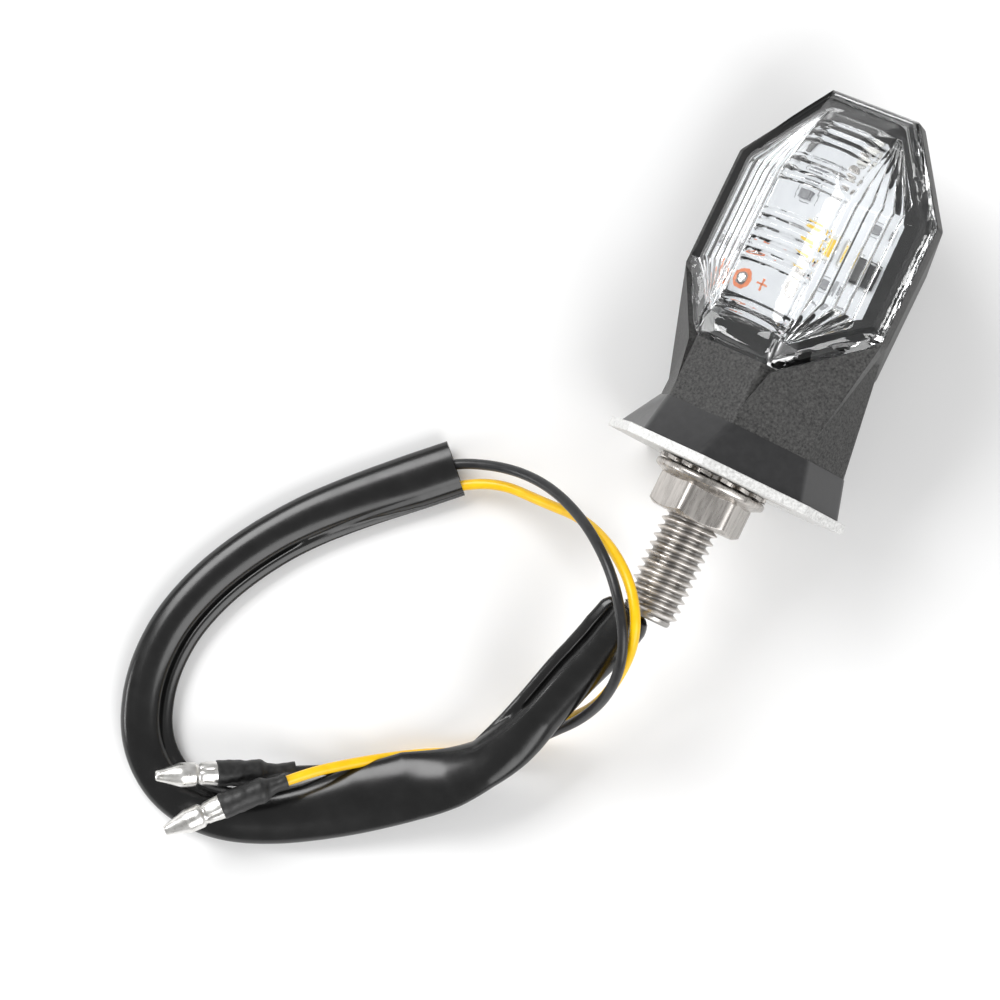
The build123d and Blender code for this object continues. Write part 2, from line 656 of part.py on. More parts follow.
def bullet_terminal(route):
    """A bullet terminal on a wire's end: crimp, waist, barrel and a hollow cone."""
    end, way = cord_end(route)
    waist_end = CRIMP_LENGTH + WAIST_LENGTH
    barrel_end = waist_end + BARREL_LENGTH
    with BuildPart() as made:
        with BuildSketch(Plane(origin=end, x_dir=way, z_dir=way.cross(Vector(0, 0, 1)))):
            Polygon(
                (0, 0), (0, BULLET_R), (CRIMP_LENGTH, BULLET_R), (CRIMP_LENGTH, WAIST_R),
                (waist_end, WAIST_R), (waist_end, BULLET_R), (barrel_end, BULLET_R),
                (BULLET_LENGTH, TIP_R), (BULLET_LENGTH, TIP_HOLE_R),
                (BULLET_LENGTH - TIP_HOLE_DEPTH, TIP_HOLE_R),
                (BULLET_LENGTH - TIP_HOLE_DEPTH, 0),
                align=None,
            )
        revolve(axis=Axis(end, way))
    print(f"bullet from {tuple(round(c, 3) for c in end)} along {tuple(round(c, 4) for c in way)}")
    return made.part


black_wire = tube(BLACK_ROUTE, WIRE_D, "black_wire")
finish(black_wire, "black_wire")
yellow_wire = tube(YELLOW_ROUTE, WIRE_D, "yellow_wire")
finish(yellow_wire, "yellow_wire")
black_heat_shrink = heat_shrink(BLACK_ROUTE, BLACK_SHRINK)
finish(black_heat_shrink, "black_heat_shrink")
yellow_heat_shrink = heat_shrink(YELLOW_ROUTE, YELLOW_SHRINK)
finish(yellow_heat_shrink, "yellow_heat_shrink")
black_bullet_terminal = bullet_terminal(BLACK_ROUTE)
finish(black_bullet_terminal, "black_bullet_terminal")
yellow_bullet_terminal = bullet_terminal(YELLOW_ROUTE)
finish(yellow_bullet_terminal, "yellow_bullet_terminal")
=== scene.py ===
"""The looks of a turn signal indicator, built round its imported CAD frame.

Lengths are in millimetres until a mesh is made, and the row frame is the CAD's: the origin is
on the stud's axis at the plate, the stud points along -Y and the floor is at FLOOR.
"""

import math

import bmesh
import bpy
import numpy as np
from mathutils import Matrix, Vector


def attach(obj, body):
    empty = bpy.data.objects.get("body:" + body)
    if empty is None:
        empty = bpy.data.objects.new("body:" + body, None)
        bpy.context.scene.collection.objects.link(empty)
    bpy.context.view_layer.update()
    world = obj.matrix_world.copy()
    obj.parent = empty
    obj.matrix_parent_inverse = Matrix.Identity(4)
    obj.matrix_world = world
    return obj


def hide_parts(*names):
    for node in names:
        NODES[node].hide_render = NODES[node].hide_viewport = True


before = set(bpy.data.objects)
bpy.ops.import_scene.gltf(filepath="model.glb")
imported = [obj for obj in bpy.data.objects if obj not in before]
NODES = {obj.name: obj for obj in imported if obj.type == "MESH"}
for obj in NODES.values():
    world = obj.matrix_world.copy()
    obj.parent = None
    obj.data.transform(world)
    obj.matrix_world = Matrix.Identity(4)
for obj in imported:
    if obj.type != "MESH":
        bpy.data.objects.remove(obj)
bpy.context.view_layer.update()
MM = 0.001
FLOOR = -16.8

LEAN = math.radians(38)
ACROSS = np.array([math.cos(LEAN), 0, math.sin(LEAN)])
OUT = np.array([-math.sin(LEAN), 0, math.cos(LEAN)])
ALONG = np.array([0.0, 1.0, 0.0])


def at_head(v, y, n):
    """Points v across, y along and n out of the lens, in the row frame."""
    v, y, n = np.broadcast_arrays(v, y, n)
    return v[..., None] * ACROSS + y[..., None] * ALONG + n[..., None] * OUT


# ---------------------------------------------------------------- materials
NOISE_SPAN = (0.3, 0.7)  # the part of a noise's range that the roughness follows
RAMP_SPAN = (0.32, 0.68)  # and the part that the colour follows
GRAIN_DEPTH = 0.0001  # in metres, of a bump of strength 1
WAVE_DEPTH = 0.0004


def new_node(tree, kind, **values):
    """A shader node with some of its inputs set by name."""
    node = tree.nodes.new("ShaderNode" + kind)
    for name, value in values.items():
        node.inputs[name.replace("_", " ")].default_value = value
    return node


def uneven_shine(tree, noise, shader, rough):
    """Roughness that follows a noise, from the first value to the second."""
    shine = new_node(
        tree, "MapRange", From_Min=NOISE_SPAN[0], From_Max=NOISE_SPAN[1],
        To_Min=rough[0], To_Max=rough[1],
    )
    tree.links.new(noise.outputs["Fac"], shine.inputs["Value"])
    tree.links.new(shine.outputs["Result"], shader.inputs["Roughness"])


def relief(tree, noise, shader, strength, depth):
    """A bump that follows a noise."""
    height = new_node(tree, "Bump", Strength=strength, Distance=depth)
    tree.links.new(noise.outputs["Fac"], height.inputs["Height"])
    tree.links.new(height.outputs["Normal"], shader.inputs["Normal"])


def surface(name, dark, light, scale, rough, metal=0.0, bump=None, stretch=(1, 1, 1), **sockets):
    """A material whose colour and roughness vary by noise, with a bump of (scale, strength)."""
    mat = bpy.data.materials.new(name)
    mat.use_nodes = True
    mat.diffuse_color = (*light, 1)
    tree = mat.node_tree
    shader = tree.nodes["Principled BSDF"]
    coords = new_node(tree, "TexCoord")
    mapping = new_node(tree, "Mapping", Scale=stretch)
    noise = new_node(tree, "TexNoise", Scale=scale, Detail=4.0, Roughness=0.6)
    ramp = new_node(tree, "ValToRGB")
    for stop, place, colour in zip(ramp.color_ramp.elements, RAMP_SPAN, (dark, light)):
        stop.position = place
        stop.color = (*colour, 1)
    tree.links.new(coords.outputs["Object"], mapping.inputs["Vector"])
    tree.links.new(mapping.outputs["Vector"], noise.inputs["Vector"])
    tree.links.new(noise.outputs["Fac"], ramp.inputs["Fac"])
    tree.links.new(ramp.outputs["Color"], shader.inputs["Base Color"])
    uneven_shine(tree, noise, shader, rough)
    if bump:
        grain = new_node(tree, "TexNoise", Scale=bump[0], Detail=3.0)
        tree.links.new(mapping.outputs["Vector"], grain.inputs["Vector"])
        relief(tree, grain, shader, bump[1], GRAIN_DEPTH)
    shader.inputs["Metallic"].default_value = metal
    for key, value in sockets.items():
        shader.inputs[key.replace("_", " ")].default_value = value
    return mat


def painted_shade_in_valleys(mat, low, high, least):
    """Paint shade into a turned part's valleys: darken its colour from the radius high, in mm, down to
    least of it at low.
    """
    tree = mat.node_tree
    coords = new_node(tree, "TexCoord")
    across = new_node(tree, "VectorMath")
    across.operation = "MULTIPLY"
    across.inputs[1].default_value = (1, 0, 1)
    radius = new_node(tree, "VectorMath")
    radius.operation = "LENGTH"
    share = new_node(
        tree, "MapRange", From_Min=low * MM, From_Max=high * MM, To_Min=least, To_Max=1.0
    )
    shade = new_node(tree, "Mix")
    shade.data_type, shade.blend_type = "RGBA", "MULTIPLY"
    shade.inputs["Factor"].default_value = 1.0
    colour = tree.nodes["Principled BSDF"].inputs["Base Color"]
    tree.links.new(coords.outputs["Object"], across.inputs[0])
    tree.links.new(across.outputs["Vector"], radius.inputs[0])
    tree.links.new(radius.outputs["Value"], share.inputs["Value"])
    tree.links.new(colour.links[0].from_socket, shade.inputs["A"])
    tree.links.new(share.outputs["Result"], shade.inputs["B"])
    tree.links.new(shade.outputs["Result"], colour)


def clear_plastic(name, tint, rough):
    """Clear moulded plastic. Light on its way to what is behind it passes straight through."""
    mat = bpy.data.materials.new(name)
    mat.use_nodes = True
    mat.diffuse_color = (*tint, 0.4)
    tree = mat.node_tree
    shader = tree.nodes["Principled BSDF"]
    shader.inputs["Base Color"].default_value = (*tint, 1)
    shader.inputs["Transmission Weight"].default_value = 1.0
    shader.inputs["IOR"].default_value = 1.57
    coords = new_node(tree, "TexCoord")
    noise = new_node(tree, "TexNoise", Scale=420.0, Detail=2.0)
    tree.links.new(coords.outputs["Object"], noise.inputs["Vector"])
    uneven_shine(tree, noise, shader, rough)
    relief(tree, noise, shader, 0.12, WAVE_DEPTH)
    straight = new_node(tree, "BsdfTransparent", Color=(0.86, 0.87, 0.88, 1))
    path = new_node(tree, "LightPath")
    either = new_node(tree, "Math")
    either.operation = "MAXIMUM"
    mix = new_node(tree, "MixShader")
    tree.links.new(path.outputs["Is Shadow Ray"], either.inputs[0])
    tree.links.new(path.outputs["Is Diffuse Ray"], either.inputs[1])
    tree.links.new(either.outputs["Value"], mix.inputs["Fac"])
    tree.links.new(shader.outputs["BSDF"], mix.inputs[1])
    tree.links.new(straight.outputs["BSDF"], mix.inputs[2])
    tree.links.new(mix.outputs["Shader"], tree.nodes["Material Output"].inputs["Surface"])
    return mat


abs_black = surface(
    "abs_black", (0.002, 0.002, 0.002), (0.068, 0.067, 0.065), 2700, (0.36, 0.54), bump=(4400, 0.8),
    Specular_IOR_Level=0.42,
)
skirt_black = surface(
    "skirt_black", (0.024, 0.024, 0.025), (0.032, 0.032, 0.033), 900, (0.28, 0.32), bump=(2500, 0.03)
)
rubber_black = surface(
    "rubber_black", (0.004, 0.004, 0.004), (0.012, 0.012, 0.012), 1500, (0.6, 0.75), bump=(3000, 0.2),
    Specular_IOR_Level=0.15,
)
lens_clear = clear_plastic("lens_clear", (0.985, 0.99, 0.99), (0.0, 0.03))
board_white = surface(
    "board_white", (0.86, 0.87, 0.89), (0.92, 0.93, 0.94), 500, (0.32, 0.42), bump=(3500, 0.04)
)
plate_silver = surface(
    "plate_silver", (0.56, 0.56, 0.55), (0.86, 0.86, 0.85), 2600, (0.46, 0.62), metal=0.45,
    bump=(3800, 0.35),
)
steel = surface(
    "steel_bright", (0.38, 0.36, 0.34), (0.58, 0.55, 0.52), 1600, (0.22, 0.34), metal=1.0,
    bump=(2600, 0.10), stretch=(1, 0.12, 1),
)
thread_steel = surface(
    "thread_steel", (0.62, 0.59, 0.56), (0.84, 0.81, 0.78), 900, (0.24, 0.38), metal=1.0,
    bump=(3200, 0.12), stretch=(0.25, 1, 0.25),
)
# painted shade: the thread's colour is darker down in its valleys
painted_shade_in_valleys(thread_steel, 3.25, 3.75, 0.4)
tin = surface(
    "tin_bright", (0.66, 0.65, 0.62), (0.88, 0.87, 0.85), 900, (0.24, 0.38), metal=1.0,
    bump=(1800, 0.12),
)
sleeve_black = surface(
    "sleeve_black", (0.003, 0.003, 0.003), (0.006, 0.006, 0.006), 350, (0.20, 0.27),
    bump=(900, 0.03), Specular_IOR_Level=0.55,
)
wire_black = surface(
    "wire_black", (0.010, 0.010, 0.011), (0.020, 0.020, 0.021), 700, (0.28, 0.38), bump=(1500, 0.06)
)
wire_yellow = surface(
    "wire_yellow", (0.93, 0.52, 0.0), (1.0, 0.62, 0.002), 500, (0.28, 0.38), bump=(1500, 0.06)
)
shrink_black = surface(
    "shrink_black", (0.007, 0.007, 0.007), (0.018, 0.018, 0.018), 1200, (0.38, 0.55),
    bump=(1500, 0.35),
)
led_body = surface("led_body", (0.80, 0.78, 0.72), (0.90, 0.88, 0.84), 900, (0.35, 0.45))
led_phosphor = surface(
    "led_phosphor", (0.90, 0.55, 0.02), (1.0, 0.72, 0.06), 1800, (0.4, 0.55), bump=(3000, 0.2)
)
chip_grey = surface("chip_grey", (0.22, 0.22, 0.23), (0.34, 0.34, 0.35), 1500, (0.4, 0.5))
chip_black = surface(
    "chip_black", (0.02, 0.02, 0.02), (0.05, 0.05, 0.05), 2500, (0.4, 0.55), bump=(4000, 0.2)
)
solder = surface(
    "solder", (0.55, 0.55, 0.54), (0.80, 0.80, 0.79), 1400, (0.2, 0.35), metal=1.0, bump=(1500, 0.3)
)
mark_orange = surface("mark_orange", (0.85, 0.22, 0.08), (0.95, 0.32, 0.14), 900, (0.4, 0.5))
mark_grey = surface("mark_grey", (0.34, 0.34, 0.35), (0.45, 0.45, 0.46), 900, (0.45, 0.55))


# ---------------------------------------------------------------- mesh helpers
WELD = 1e-7  # in metres


def make(name, points, faces, materials, body="root", slot=None, stands_for=(), sharp=35):
    """A mesh piece from points in mm, riding on a body."""
    mesh = bpy.data.meshes.new(name)
    mesh.from_pydata((np.asarray(points).reshape(-1, 3) * MM).tolist(), [], faces)
    bm = bmesh.new()
    bm.from_mesh(mesh)
    bmesh.ops.remove_doubles(bm, verts=bm.verts, dist=WELD)
    bmesh.ops.recalc_face_normals(bm, faces=bm.faces)
    bm.to_mesh(mesh)
    bm.free()
    for mat in materials if isinstance(materials, (list, tuple)) else [materials]:
        mesh.materials.append(mat)
    mesh.shade_smooth()
    mesh.set_sharp_from_angle(angle=math.radians(sharp))
    piece = bpy.data.objects.new(name, mesh)
    bpy.context.scene.collection.objects.link(piece)
    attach(piece, body)
    if stands_for:
        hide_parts(*stands_for)
    return piece


def loft_faces(rings, columns, closed):
    """Quads between rings of points, each ring closed on itself; closed joins the last to the first."""
    faces = []
    for i in range(rings if closed else rings - 1):
        a, b = i * columns, (i + 1) % rings * columns
        for j in range(columns):
            k = (j + 1) % columns
            faces.append((a + j, a + k, b + k, b + j))
    return faces


def capped(faces, rings, columns):
    """The same faces with one across the first ring and one across the last."""
    last = (rings - 1) * columns
    return [*faces, tuple(range(columns)), tuple(range(last, last + columns))]


def once_round(columns):
    """The angle of each column of a ring."""
    return np.linspace(0, 2 * math.pi, columns, endpoint=False)


def turned(profile, columns):
    """Rings about the Y axis from a list of (distance along -Y, radius or radius of each column)."""
    angle = once_round(columns)
    rings = []
    for s, r in profile:
        r = np.broadcast_to(r, columns)
        rings.append(np.stack([r * np.cos(angle), np.full(columns, -s), r * np.sin(angle)], 1))
    return np.array(rings)


def smooth_min(a, b, k):
    """The lesser of a and b, with the corner between them rounded over k."""
    h = np.clip(0.5 + 0.5 * (b - a) / k, 0, 1)
    return b * (1 - h) + a * h - k * h * (1 - h)


def smooth_max(a, b, k):
    """The greater of a and b, with the corner between them rounded over k."""
    return -smooth_min(-a, -b, k)


def hexagon(angle, apothem, phase, rounding):
    """The radius of a hexagon with rounded corners, one of them at phase."""
    from_corner = (angle - phase) % (math.pi / 3)
    flat = apothem / np.cos(from_corner - math.pi / 6)
    return smooth_min(flat, apothem / np.cos(math.pi / 6) - rounding, rounding)


# ---------------------------------------------------------------- camera
CAMERA_X, CAMERA_Y, CAMERA_Z = -24.6, -15.7, 600.0
HALF_VIEW = 67.5  # half the width seen, at the level of the stud's axis
SENSOR = 36.0
VIEW_TURN = math.radians(25.85)

camera_data = bpy.data.cameras.new("camera")
camera_data.sensor_width = SENSOR
camera_data.lens = SENSOR / 2 * CAMERA_Z / HALF_VIEW
camera_data.clip_start, camera_data.clip_end = 0.01, 10
camera = bpy.data.objects.new("camera", camera_data)
camera.location = (CAMERA_X * MM, CAMERA_Y * MM, CAMERA_Z * MM)
camera.rotation_euler = (0, 0, VIEW_TURN)
bpy.context.scene.collection.objects.link(camera)
bpy.context.scene.camera = camera

# ---------------------------------------------------------------- the lead
STUD_END = -21.5
WIRE_R = 0.725
SLEEVE_Z = FLOOR + 1.95  # the line of the sleeve where it lies on the floor
WIRE_Z = FLOOR + WIRE_R
# The middle lines of the sleeve and of the two wires that come out of its open end
SLEEVE_ROUTE = [
    (-0.8, STUD_END, -0.2), (-1.6, -25.5, -0.6), (-4.4, -32.0, -2.8), (-6.4, -38.8, -5.6),
    (-8.6, -45.6, -8.0), (-13.2, -52.8, -10.4), (-19.4, -58.6, -12.6), (-26.6, -64.4, -14.0),
    (-34.0, -69.2, SLEEVE_Z), (-41.0, -71.9, SLEEVE_Z), (-48.2, -71.6, SLEEVE_Z),
    (-54.2, -67.2, SLEEVE_Z), (-57.2, -60.0, SLEEVE_Z), (-57.6, -52.2, SLEEVE_Z),
    (-55.9, -45.0, SLEEVE_Z), (-52.6, -37.8, SLEEVE_Z), (-47.8, -30.6, SLEEVE_Z),
    (-42.0, -24.2, SLEEVE_Z), (-36.6, -18.9, SLEEVE_Z), (-32.0, -14.4, SLEEVE_Z + 0.2),
]
BLACK_ROUTE = [
    (-37.0, -18.0, SLEEVE_Z), (-33.8, -14.4, SLEEVE_Z + 0.2), (-26.4, -11.3, -10.8),
    (-19.8, -10.9, -5.4), (-13.6, -13.0, 0.8), (-8.2, -16.8, 6.8), (-4.2, -21.2, 8.8),
    (-0.9, -26.6, 8.2), (0.1, -32.2, 3.8), (-1.3, -37.4, -4.6), (-4.8, -42.0, -11.8),
    (-8.6, -47.2, -15.6), (-12.6, -51.4, WIRE_Z), (-18.8, -54.2, WIRE_Z + 0.1),
    (-25.4, -57.5, -15.4), (-32.9, -61.2, -13.4), (-43.3, -66.5, -10.2),
]
YELLOW_ROUTE = [
    (-34.9, -19.6, SLEEVE_Z), (-32.2, -17.4, SLEEVE_Z), (-26.0, -13.6, -13.6),
    (-19.2, -13.4, -9.4), (-13.0, -13.0, -3.2), (-7.6, -15.2, 4.0), (-3.2, -19.0, 8.0),
    (-0.3, -24.2, 8.2), (0.3, -29.6, 3.8), (-0.5, -35.0, -4.6), (-3.0, -38.8, -11.2),
    (-8.0, -44.4, -15.4), (-12.8, -48.9, WIRE_Z), (-19.2, -52.1, WIRE_Z + 0.2),
    (-26.2, -56.5, -12.6), (-33.4, -61.9, -8.6), (-40.6, -70.1, -8.1),
]


def route_curve(name, route):
    """A smooth curve with the route's points as its control points."""
    curve = bpy.data.curves.new(name, "CURVE")
    curve.dimensions = "3D"
    curve.resolution_u = 16  # steps between two control points
    spline = curve.splines.new("NURBS")
    spline.points.add(len(route) - 1)
    for point, place in zip(spline.points, route):
        point.co = (*[c * MM for c in place], 1)
    spline.order_u = 3
    spline.use_endpoint_u = True
    return curve


def route_points(route):
    """The points of a route's smooth curve, in mm."""
    curve = route_curve("route", route)
    holder = bpy.data.objects.new("route", curve)
    mesh = bpy.data.meshes.new_from_object(holder)
    points = np.array([v.co[:] for v in mesh.vertices]) / MM
    bpy.data.meshes.remove(mesh)
    bpy.data.curves.remove(curve)
    return points


def wire(name, route, mat):
    """A round wire along a route."""
    curve = route_curve(name, route)
    curve.bevel_depth = WIRE_R * MM
    curve.bevel_resolution = 8
    curve.use_fill_caps = True
    curve.materials.append(mat)
    piece = bpy.data.objects.new(name, curve)
    bpy.context.scene.collection.objects.link(piece)
    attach(piece, "root")
    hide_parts(name.replace("_lead", "_wire"))


def directions(points):
    """Unit tangents, level side vectors to the right of the travel, and the ups, at each point."""
    tangent = np.gradient(points, axis=0)
    tangent /= np.linalg.norm(tangent, axis=1)[:, None]
    side = np.cross(tangent, [0, 0, 1])
    side /= np.maximum(np.linalg.norm(side, axis=1)[:, None], 1e-9)
    return tangent, side, np.cross(side, tangent)


def travelled(points):
    """The distance along a line of points to each of them."""
    return np.concatenate([[0], np.cumsum(np.linalg.norm(np.diff(points, axis=0), axis=1))])


def evenly(points, step):
    """The same line with a point about every step along it."""
    way = travelled(points)
    stations = np.linspace(0, way[-1], int(way[-1] / step))
    return np.stack([np.interp(stations, way, points[:, k]) for k in range(3)], 1)


SLEEVE_STEP = 0.45
SLEEVE_COLUMNS = 72
SLEEVE_WALL = 0.55
SLEEVE_OPEN = 9.0  # depth of the open end
# Shares of the sleeve's half width or half height, in its section
UNDERSIDE = 0.95
RIDGE_SHIFT = 0.2
FLAT_HEIGHT, FLAT_MID, FLAT_HALF = 0.46, 0.4, 0.6
CREASE_AT, CREASE_WIDTH, CREASE_DEPTH = 0.56, 0.07, 0.22


def dome(x, middle, half):
    """Half a circle's height over x, 1 at the middle and 0 from half on."""
    return np.sqrt(np.clip(1 - ((x - middle) / half) ** 2, 0, 1))


def bell(x, middle, width):
    """1 at the middle, falling off smoothly over the width."""
    return np.exp(-(((x - middle) / width) ** 2))


def sleeve_section(half_width, half_height, flange):
    """A collapsed tube's outline: (side, up) of each column. The wires fill its outer side, and
    flange from 0 to 1 is how far its inner side has gone flat."""
    angle = once_round(SLEEVE_COLUMNS)
    share, rise = np.cos(angle), np.sin(angle)
    shift = RIDGE_SHIFT * flange
    ridge = dome(share, -shift, 1 - shift)
    flat = FLAT_HEIGHT * dome(share, FLAT_MID, FLAT_HALF) * flange
    up = np.where(rise < 0, -UNDERSIDE, 1.0) * half_height * smooth_max(ridge, flat, 0.06)
    up = np.where(np.abs(rise) < 1e-6, 0, up)
    crease = bell(share, CREASE_AT, CREASE_WIDTH) * flange * CREASE_DEPTH * half_height
    return half_width * share, up - (rise > 0) * crease


# Along the sleeve: distance, half width, half height, twist in degrees, flange, sideways shift
SLEEVE_STATIONS = np.array([
    (0.0, 2.6, 1.9, 0, 0.7, 1.6),
    (0.5, 3.3, 2.4, 0, 0.8, 1.6),
    (1.6, 3.8, 2.7, 0, 0.85, 1.6),
    (5.0, 3.9, 2.6, 3, 0.9, 1.5),
    (10.0, 3.7, 2.4, 5, 1.0, 1.1),
    (20.0, 3.6, 2.2, 8, 0.9, 0.7),
    (26.0, 3.7, 2.1, -8, 0.45, 0.3),
    (31.0, 3.7, 2.1, -28, 0.1, 0.0),
    (36.0, 4.3, 1.9, -20, 0.0, 0.3),
    (42.0, 4.8, 1.9, -4, 0.0, 0.9),
    (50.0, 4.7, 2.0, 2, 0.0, 0.8),
    (58.0, 4.0, 2.1, 4, 0.0, 0.2),
    (68.0, 3.7, 2.1, 2, 0.2, 0.0),
    (80.0, 3.6, 2.0, 0, 0.8, 0.0),
    (100.0, 3.6, 1.9, -2, 1.0, 0.0),
    (120.0, 3.6, 1.9, -2, 0.9, 0.0),
    (132.0, 3.8, 2.0, 0, 0.6, 0.0),
    (140.0, 3.95, 2.1, 0, 0.3, 0.0),
    (160.0, 3.95, 2.1, 0, 0.2, 0.0),
])

sleeve_line = evenly(route_points(SLEEVE_ROUTE), SLEEVE_STEP)
sleeve_way = travelled(sleeve_line)
_, sides, ups = directions(sleeve_line)


def sleeve_ring(i, shrink):
    """The ring of the sleeve at point i of its line, moved in by shrink."""
    half_width, half_height, twist, flange, shift = [
        np.interp(sleeve_way[i], SLEEVE_STATIONS[:, 0], SLEEVE_STATIONS[:, k]) for k in range(1, 6)
    ]
    side, up = sleeve_section(half_width - shrink, half_height - shrink, flange)
    c, s = math.cos(math.radians(twist)), math.sin(math.radians(twist))
    side, up = side * c - up * s + shift, side * s + up * c
    return sleeve_line[i] + side[:, None] * sides[i] + up[:, None] * ups[i]


outer_rings = [sleeve_ring(i, 0) for i in range(len(sleeve_line))]
inner_rings = [
    sleeve_ring(i, SLEEVE_WALL)
    for i in reversed(range(len(sleeve_line)))
    if sleeve_way[-1] - sleeve_way[i] < SLEEVE_OPEN
]
sleeve_rings = np.array(outer_rings + inner_rings)
pvc_sleeve = make(
    "sleeve", sleeve_rings,
    capped(loft_faces(len(sleeve_rings), SLEEVE_COLUMNS, False), len(sleeve_rings), SLEEVE_COLUMNS),
    sleeve_black, slot="sleeve_black", stands_for=["pvc_sleeve"], sharp=60,
)


BULLET_COLUMNS = 64
BULLET_ANGLE = once_round(BULLET_COLUMNS)


def along_axis(start, way, profile):
    """Rings about the line from start along way, from (distance, radius or radii)."""
    way = way / np.linalg.norm(way)
    side = np.cross(way, [0, 0, 1])
    side /= np.linalg.norm(side)
    up = np.cross(side, way)
    around = np.cos(BULLET_ANGLE)[:, None] * side + np.sin(BULLET_ANGLE)[:, None] * up
    return np.array([
        start + s * way + np.broadcast_to(r, BULLET_COLUMNS)[:, None] * around for s, r in profile
    ])


def bullet(color, route, turn):
    """A bullet terminal at a wire's end: split crimp, dented waist, round barrel and hollow cone."""
    start = np.array(route[-1], float)
    way = start - np.array(route[-2], float)
    from_split = (BULLET_ANGLE - turn + math.pi) % (2 * math.pi) - math.pi
    from_fold = (BULLET_ANGLE - turn - 1.3 + math.pi) % (2 * math.pi) - math.pi
    dent = bell(from_split, 0, 0.16)
    fold = bell(from_fold, 0, 0.5)
    ripple = 0.04 * np.cos(5 * (BULLET_ANGLE - turn))
    # From the crimp's back end to the cone's tip and into its hollow
    profile = [
        (-0.35, 1.2), (-0.35, 1.55), (-0.25, 1.66), (0.0, 1.7 - 0.35 * dent),
        (0.7, 1.7 + ripple - 0.35 * dent - 0.1 * fold),
        (1.4, 1.66 + ripple - 0.35 * dent - 0.2 * fold),
        (2.0, 1.6 + ripple - 0.3 * dent - 0.15 * fold), (2.25, 1.5 - 0.2 * dent), (2.4, 1.38), (2.6, 1.36),
        (2.75, 1.48), (2.9, 1.62), (3.1, 1.69), (3.6, 1.7), (4.6, 1.7), (4.95, 1.69), (5.2, 1.63),
        (5.6, 1.5), (6.4, 1.24), (7.2, 1.0), (7.9, 0.82), (8.25, 0.74), (8.38, 0.66), (8.4, 0.56),
        (8.3, 0.47), (8.1, 0.43), (6.6, 0.4), (6.5, 0.3),
    ]
    rings = along_axis(start, way, profile)
    faces = capped(loft_faces(len(rings), BULLET_COLUMNS, False), len(rings), BULLET_COLUMNS)
    return make(
        f"{color}_bullet", rings, faces, tin, slot="tin_bright",
        stands_for=[f"{color}_bullet_terminal"], sharp=50,
    )


SHRINK_COLUMNS = 40
SHRINK_R, SHRINK_SWELL = 1.2, 0.62  # its radius on the wire, and what the terminal adds
SHRINK_STEP, SHRINK_STEP_SOFT = 6.6, 0.22  # where it steps up, from the wire's end


def drawn_in(ring, share):
    """A ring moved towards its middle by a share of its radius."""
    return ring + (np.mean(ring, 0) - ring) * share


def heat_shrink(color, route, length):
    """Shrink tube that steps from the wire up to the terminal's crimp, with soft wrinkles."""
    line = route_points(route)
    way = travelled(line)
    to_end = (way[-1] - way)[::-1]
    _, side, up = directions(line)
    angle = once_round(SHRINK_COLUMNS)
    rings = []
    for s in np.concatenate([np.linspace(length, 0.25, 44), [0.1, 0.0]]):
        centre, side_here, up_here = [
            np.array([np.interp(s, to_end, values[::-1, k]) for k in range(3)])
            for values in (line, side, up)
        ]
        swell = 1 / (1 + math.exp((s - SHRINK_STEP) / SHRINK_STEP_SOFT))
        flat = 1 + 0.10 * math.sin(s * 1.3) * (1 - swell)
        r = SHRINK_R + SHRINK_SWELL * swell - 0.12 * bell(s, 4.4, 0.8)
        r = r + 0.03 * np.sin(3 * angle + s * 1.1) + 0.025 * np.sin(s * 4.2 + angle)
        if s < 0.1:
            r = r - 0.12
        rings.append(
            centre + (r * np.cos(angle) * flat)[:, None] * side_here
            + (r * np.sin(angle))[:, None] * up_here
        )
    rings = np.array([drawn_in(rings[0], 0.25), *rings, drawn_in(rings[-1], 0.35)])
    faces = capped(loft_faces(len(rings), SHRINK_COLUMNS, False), len(rings), SHRINK_COLUMNS)
    return make(
        f"{color}_shrink_tube", rings, faces, shrink_black, slot="shrink_black",
        stands_for=[f"{color}_heat_shrink"], sharp=50,
    )


black_end = [heat_shrink("black", BLACK_ROUTE, 11.0), bullet("black", BLACK_ROUTE, 1.1)]
yellow_end = [heat_shrink("yellow", YELLOW_ROUTE, 9.6), bullet("yellow", YELLOW_ROUTE, 2.0)]
wire("black_lead", BLACK_ROUTE, wire_black)
wire("yellow_lead", YELLOW_ROUTE, wire_yellow)

# ---------------------------------------------------------------- stud
THREAD_PITCH = 1.25
THREAD_R = 4.0
THREAD_DEPTH = 0.767
STUD_COLUMNS = 96
STUD_BORE_R = 2.3
CREST_HALF, FLANK = 0.07, 0.42  # along the stud
RUNOUT_AT, RUNOUT_R, RUNOUT_SLOPE = 20.55, 3.42, 1.15  # the thread's chamfer at the stud's end
HEAD_APOTHEM, HEAD_TURN = 6.3, 0.55  # the stud's hexagon head, inside the stalk
stud_angle = once_round(STUD_COLUMNS)


def thread_radius(s):
    """The radius of a right-hand M8 thread in each column, s along the stud."""
    phase = (s / THREAD_PITCH - stud_angle / (2 * math.pi)) % 1
    from_crest = np.minimum(phase, 1 - phase) * THREAD_PITCH
    share = np.clip((from_crest - CREST_HALF) / FLANK, 0, 1)
    share = share * share * (3 - 2 * share) * 0.35 + share * 0.65
    return THREAD_R - THREAD_DEPTH * share


